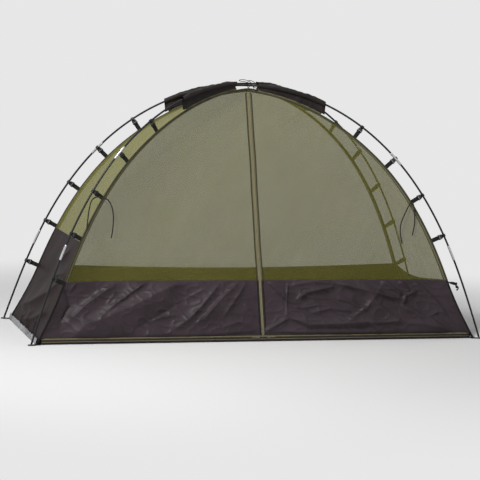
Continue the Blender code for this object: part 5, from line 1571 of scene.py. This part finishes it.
def sleeve_grid(arch, sign, start, end, seed):
    """Down one side, round the rod and down the other, for each distance along the pole. Seeded
    ripples pucker the lower part and puff the top, and the ends slant back towards the seam."""
    stations = np.linspace(start, end, SLEEVE_RINGS)
    turn = np.linspace(np.pi * SLEEVE_ROUND, -np.pi * SLEEVE_ROUND, TOP_POINTS)
    drop = seam_drop(stations) - SLEEVE_LIFT
    loop = SLEEVE_LOOP - SLEEVE_NARROW * np.exp(-((stations - start) / NARROW_OVER) ** 2)[:, None]
    down = np.linspace(1.0, 0.0, SIDE_POINTS)[:-1]
    up_round, side_round = loop * np.cos(turn), loop * np.sin(turn)
    neck = -loop * np.cos(np.pi * (1 - SLEEVE_ROUND))
    left_up = neck - (drop[:, None] + neck) * down
    left_side = side_round[:, :1] + SLEEVE_FLARE * down
    up = np.concatenate((left_up, up_round, left_up[:, ::-1]), axis=1)
    side = np.concatenate((left_side, side_round, -left_side[:, ::-1]), axis=1)
    low = np.clip((-up - PUCKER_START) / PUCKER_OVER, 0.0, 1.0)
    gathered = stations[:, None] + 0.30 * up
    pucker = ripple(gathered * 21, up * 6, seed) + 0.55 * ripple(gathered * 47, up * 9, seed + 1)
    side = side + np.sign(side) * (SLEEVE_SLACK + SLEEVE_PUCKER * np.maximum(pucker, -0.20) * low)
    ends = np.clip(np.minimum(stations - start, end - stations) / SLEEVE_END, 0.0, 1.0)[:, None]
    puff = (SLEEVE_PUFF + SLEEVE_LUMPS * ripple(stations[:, None] * 13, side * 60, seed + 1)
            + SLEEVE_SPECKS * ripple(stations[:, None] * 37, side * 90, seed + 2))
    up = up + puff * (0.35 + 0.65 * ends) * np.clip(up / PUFF_OVER, 0.0, 1.0)
    stations = stations[:, None] + SLEEVE_SLANT * (1 - ends) * (-up / SLANT_DEPTH)
    centre, outward = arch.point(sign * stations), arch.outward(sign * stations)
    return centre + up[..., None] * outward + side[..., None] * arch.side


# %% The four sleeves
for seed, (half, (arch, sign)) in enumerate(HALVES.items()):
    grid = sleeve_grid(arch, sign, *SLEEVE_SPANS[half], 60 + 2 * seed)
    sleeve = sew(f"sleeve_cloth_{half}", grid, SLEEVE, SLEEVE_CLOTH, "tent", "sleeve", f"sleeve_{half}",
                 flip=sign > 0)
    declare_cloth(sleeve, grid, "stretched", [f"binding_{arch.letter}"])
    stations = sign * np.linspace(*SLEEVE_SPANS[half], SLEEVE_RINGS)
    line = arch.seam(stations) + SLEEVE_TAPE_LIFT * arch.outward(stations)
    tape_grid = swept(line, arch.side, soft_box(*SLEEVE_TAPE_HALF, BINDING_SIDES, BAND_POWER)[:, ::-1])
    dress(tube(f"sleeve_tape_{half}", tape_grid, flip=sign < 0), ZIP_TAPE, "tent", "binding")

# %% [markdown]
# ## Sliders
#
# The three zip sliders keep their CAD shapes, which are right at this size, and get the finish of
# dull brass.

# %% Finish for the CAD sliders
for name in ("slider_centre", "slider_left", "slider_right"):
    for slot in frame["nodes"][name].material_slots:
        slot.material = BRASS
print("shown pieces", len(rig.pieces()))

# %% [markdown]
# ## Corner tabs
#
# Each corner ends in a short webbing tab with a metal eyelet for the pole's pin.


# %% Tabs and eyelets
TAB_START, TAB_OVERHANG, TAB_HALF_WIDTH, TAB_THICK = 0.012, 0.015, 0.0125, 0.0024
TAB_HEIGHT, TAB_UNEVEN, EYELET_HALF = 0.0015, 0.0006, (0.0020, 0.0015)
EYELET_INSET, EYELET_HEIGHT, EYELET_RADIUS, EYELET_POINTS = 0.004, 0.0042, 0.0056, 28


def tab_grid(arch, sign):
    """A flat band from the seam's foot out to the eyelet, with a half circle as its outer end."""
    inner, outer = np.hypot(*CORNER[:2]) - TAB_START, FOOT_REACH + TAB_OVERHANG
    share, width = np.meshgrid(np.linspace(0.0, 1.0, 24), np.linspace(-1.0, 1.0, 9), indexing="ij")
    out = inner + (outer - inner) * share
    in_end = np.clip(1 - (outer - out) / TAB_HALF_WIDTH, 0.0, 1.0)
    half = TAB_HALF_WIDTH * np.sqrt(np.clip(1 - in_end ** 2, 0.02, 1.0))
    height = TAB_HEIGHT + TAB_UNEVEN * np.sin(9 * share)
    band = out[..., None] * arch.out * sign + (half * width)[..., None] * arch.side
    return band + height[..., None] * UP


for half, (arch, sign) in HALVES.items():
    sew(f"tab_{half}", tab_grid(arch, sign), WEBBING, TAB_THICK, "tent", "binding", flip=sign > 0)
    centre = arch.point(sign * (HALF_POLE - EYELET_INSET)) * [1, 1, 0] + UP * EYELET_HEIGHT
    round_places = oval(EYELET_RADIUS, EYELET_RADIUS, EYELET_POINTS)
    path = centre + round_places[:, 0:1] * arch.out + round_places[:, 1:2] * arch.side
    ring = carried(path, oval(*EYELET_HALF, 10), unit(path - centre), UP)
    eyelet = surface(f"eyelet_{half}", np.concatenate((ring, ring[:1])), wrap=True, flip=True)
    dress(eyelet, BRASS, "tent", "binding")
print("tabs and eyelets", len(HALVES), "each")

# %% [markdown]
# ## Studio
#
# The object stands on a pale floor that fades into a pale surround, so no edge shows behind the
# net. The floor keeps the object's shadow near it. The light is an even, weak surround, a key
# lamp high on the left that gives the folds and rods their shape, and a wide weak lamp above.

# %% Floor and surround
PALE, SURROUND_LIGHT = 0.80, 0.18
PALE_COLOUR = (PALE, PALE, PALE, 1.0)
SHADOW_REACH, FADE_REACH = 1.25, 2.9


def studio_floor():
    """Plain and shadow-taking near the object, and as bright as the surround far from it."""
    finish = Finish("studio_floor", base_color=PALE_COLOUR, roughness=0.9, specular_ior_level=0.1)
    place = finish.places()
    distance = finish.node("ShaderNodeVectorMath", {"operation": "LENGTH"}, [place], output="Value")
    glow = finish.node("ShaderNodeEmission", {}, {"Color": PALE_COLOUR, "Strength": 1.0})
    far = distance.between(SHADOW_REACH, FADE_REACH)
    blend = finish.node("ShaderNodeMixShader", {}, [far, Wire(finish, finish.shader.outputs[0]), glow])
    finish.join(blend, finish.tree.nodes["Material Output"].inputs["Surface"])
    return finish.material


FLOOR_RINGS, FLOOR_LEVEL = np.array([0.01, 3.0, 12.0, 60.0]), -0.0005
turn, ring = np.meshgrid(np.linspace(0.0, 2 * np.pi, 65)[:-1], FLOOR_RINGS)
disc = np.stack((ring * np.cos(turn), ring * np.sin(turn), np.full_like(ring, FLOOR_LEVEL)), axis=-1)
ground = surface("studio_ground", disc, wrap=True, flip=True)
ground.data.materials.append(studio_floor())
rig.stage(ground)

world = bpy.data.worlds.new("surround")
bpy.context.scene.world = world
world.use_nodes = True
sky = Wiring(world.node_tree)
straight = sky.node("ShaderNodeLightPath", output="Is Camera Ray")
mirrored = sky.node("ShaderNodeLightPath", output="Is Glossy Ray")
level = sky.node("ShaderNodeMapRange", {}, {
    "Value": straight.larger(mirrored), "To Min": SURROUND_LIGHT, "To Max": PALE})
background = world.node_tree.nodes["Background"]
background.inputs["Color"].default_value = (1.0, 1.0, 1.0, 1.0)
sky.join(level, background.inputs["Strength"])
print("floor and surround, pale level", PALE)


# %% Lamps
def lamp(name, place, target, size, power):
    """A round lamp at a place, turned to a target."""
    data = bpy.data.lights.new(name, "AREA")
    data.shape, data.size, data.energy = "DISK", size, power
    item = placed(name, data)
    item.location = place
    item.rotation_euler = (Vector(target) - Vector(place)).to_track_quat("-Z", "Y").to_euler()


lamp("key_lamp", (-2.7, -2.3, 4.3), (0.0, 0.0, 0.3), 0.9, 222.0)
lamp("top_lamp", (1.4, 0.6, 4.6), (0.0, 0.0, 0.5), 2.6, 30.0)
bpy.context.scene.view_settings.view_transform = "Standard"
print("lamps", len(bpy.data.lights))

# %% [markdown]
# ## Check the size and finish
#
# The dressed tent has to stay in the CAD model's box, so both boxes are written out and compared.

# %% Write the two boxes and finish
VISUAL_BOX = [[float(value) for value in corner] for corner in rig.bounds()]
with open("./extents.json", "w") as report:
    json.dump({"cad": CAD_BOX, "visual": VISUAL_BOX}, report)
growth = np.array(VISUAL_BOX) - np.array(CAD_BOX)
print("growth of the box in mm", (growth * 1000).round(1).tolist())
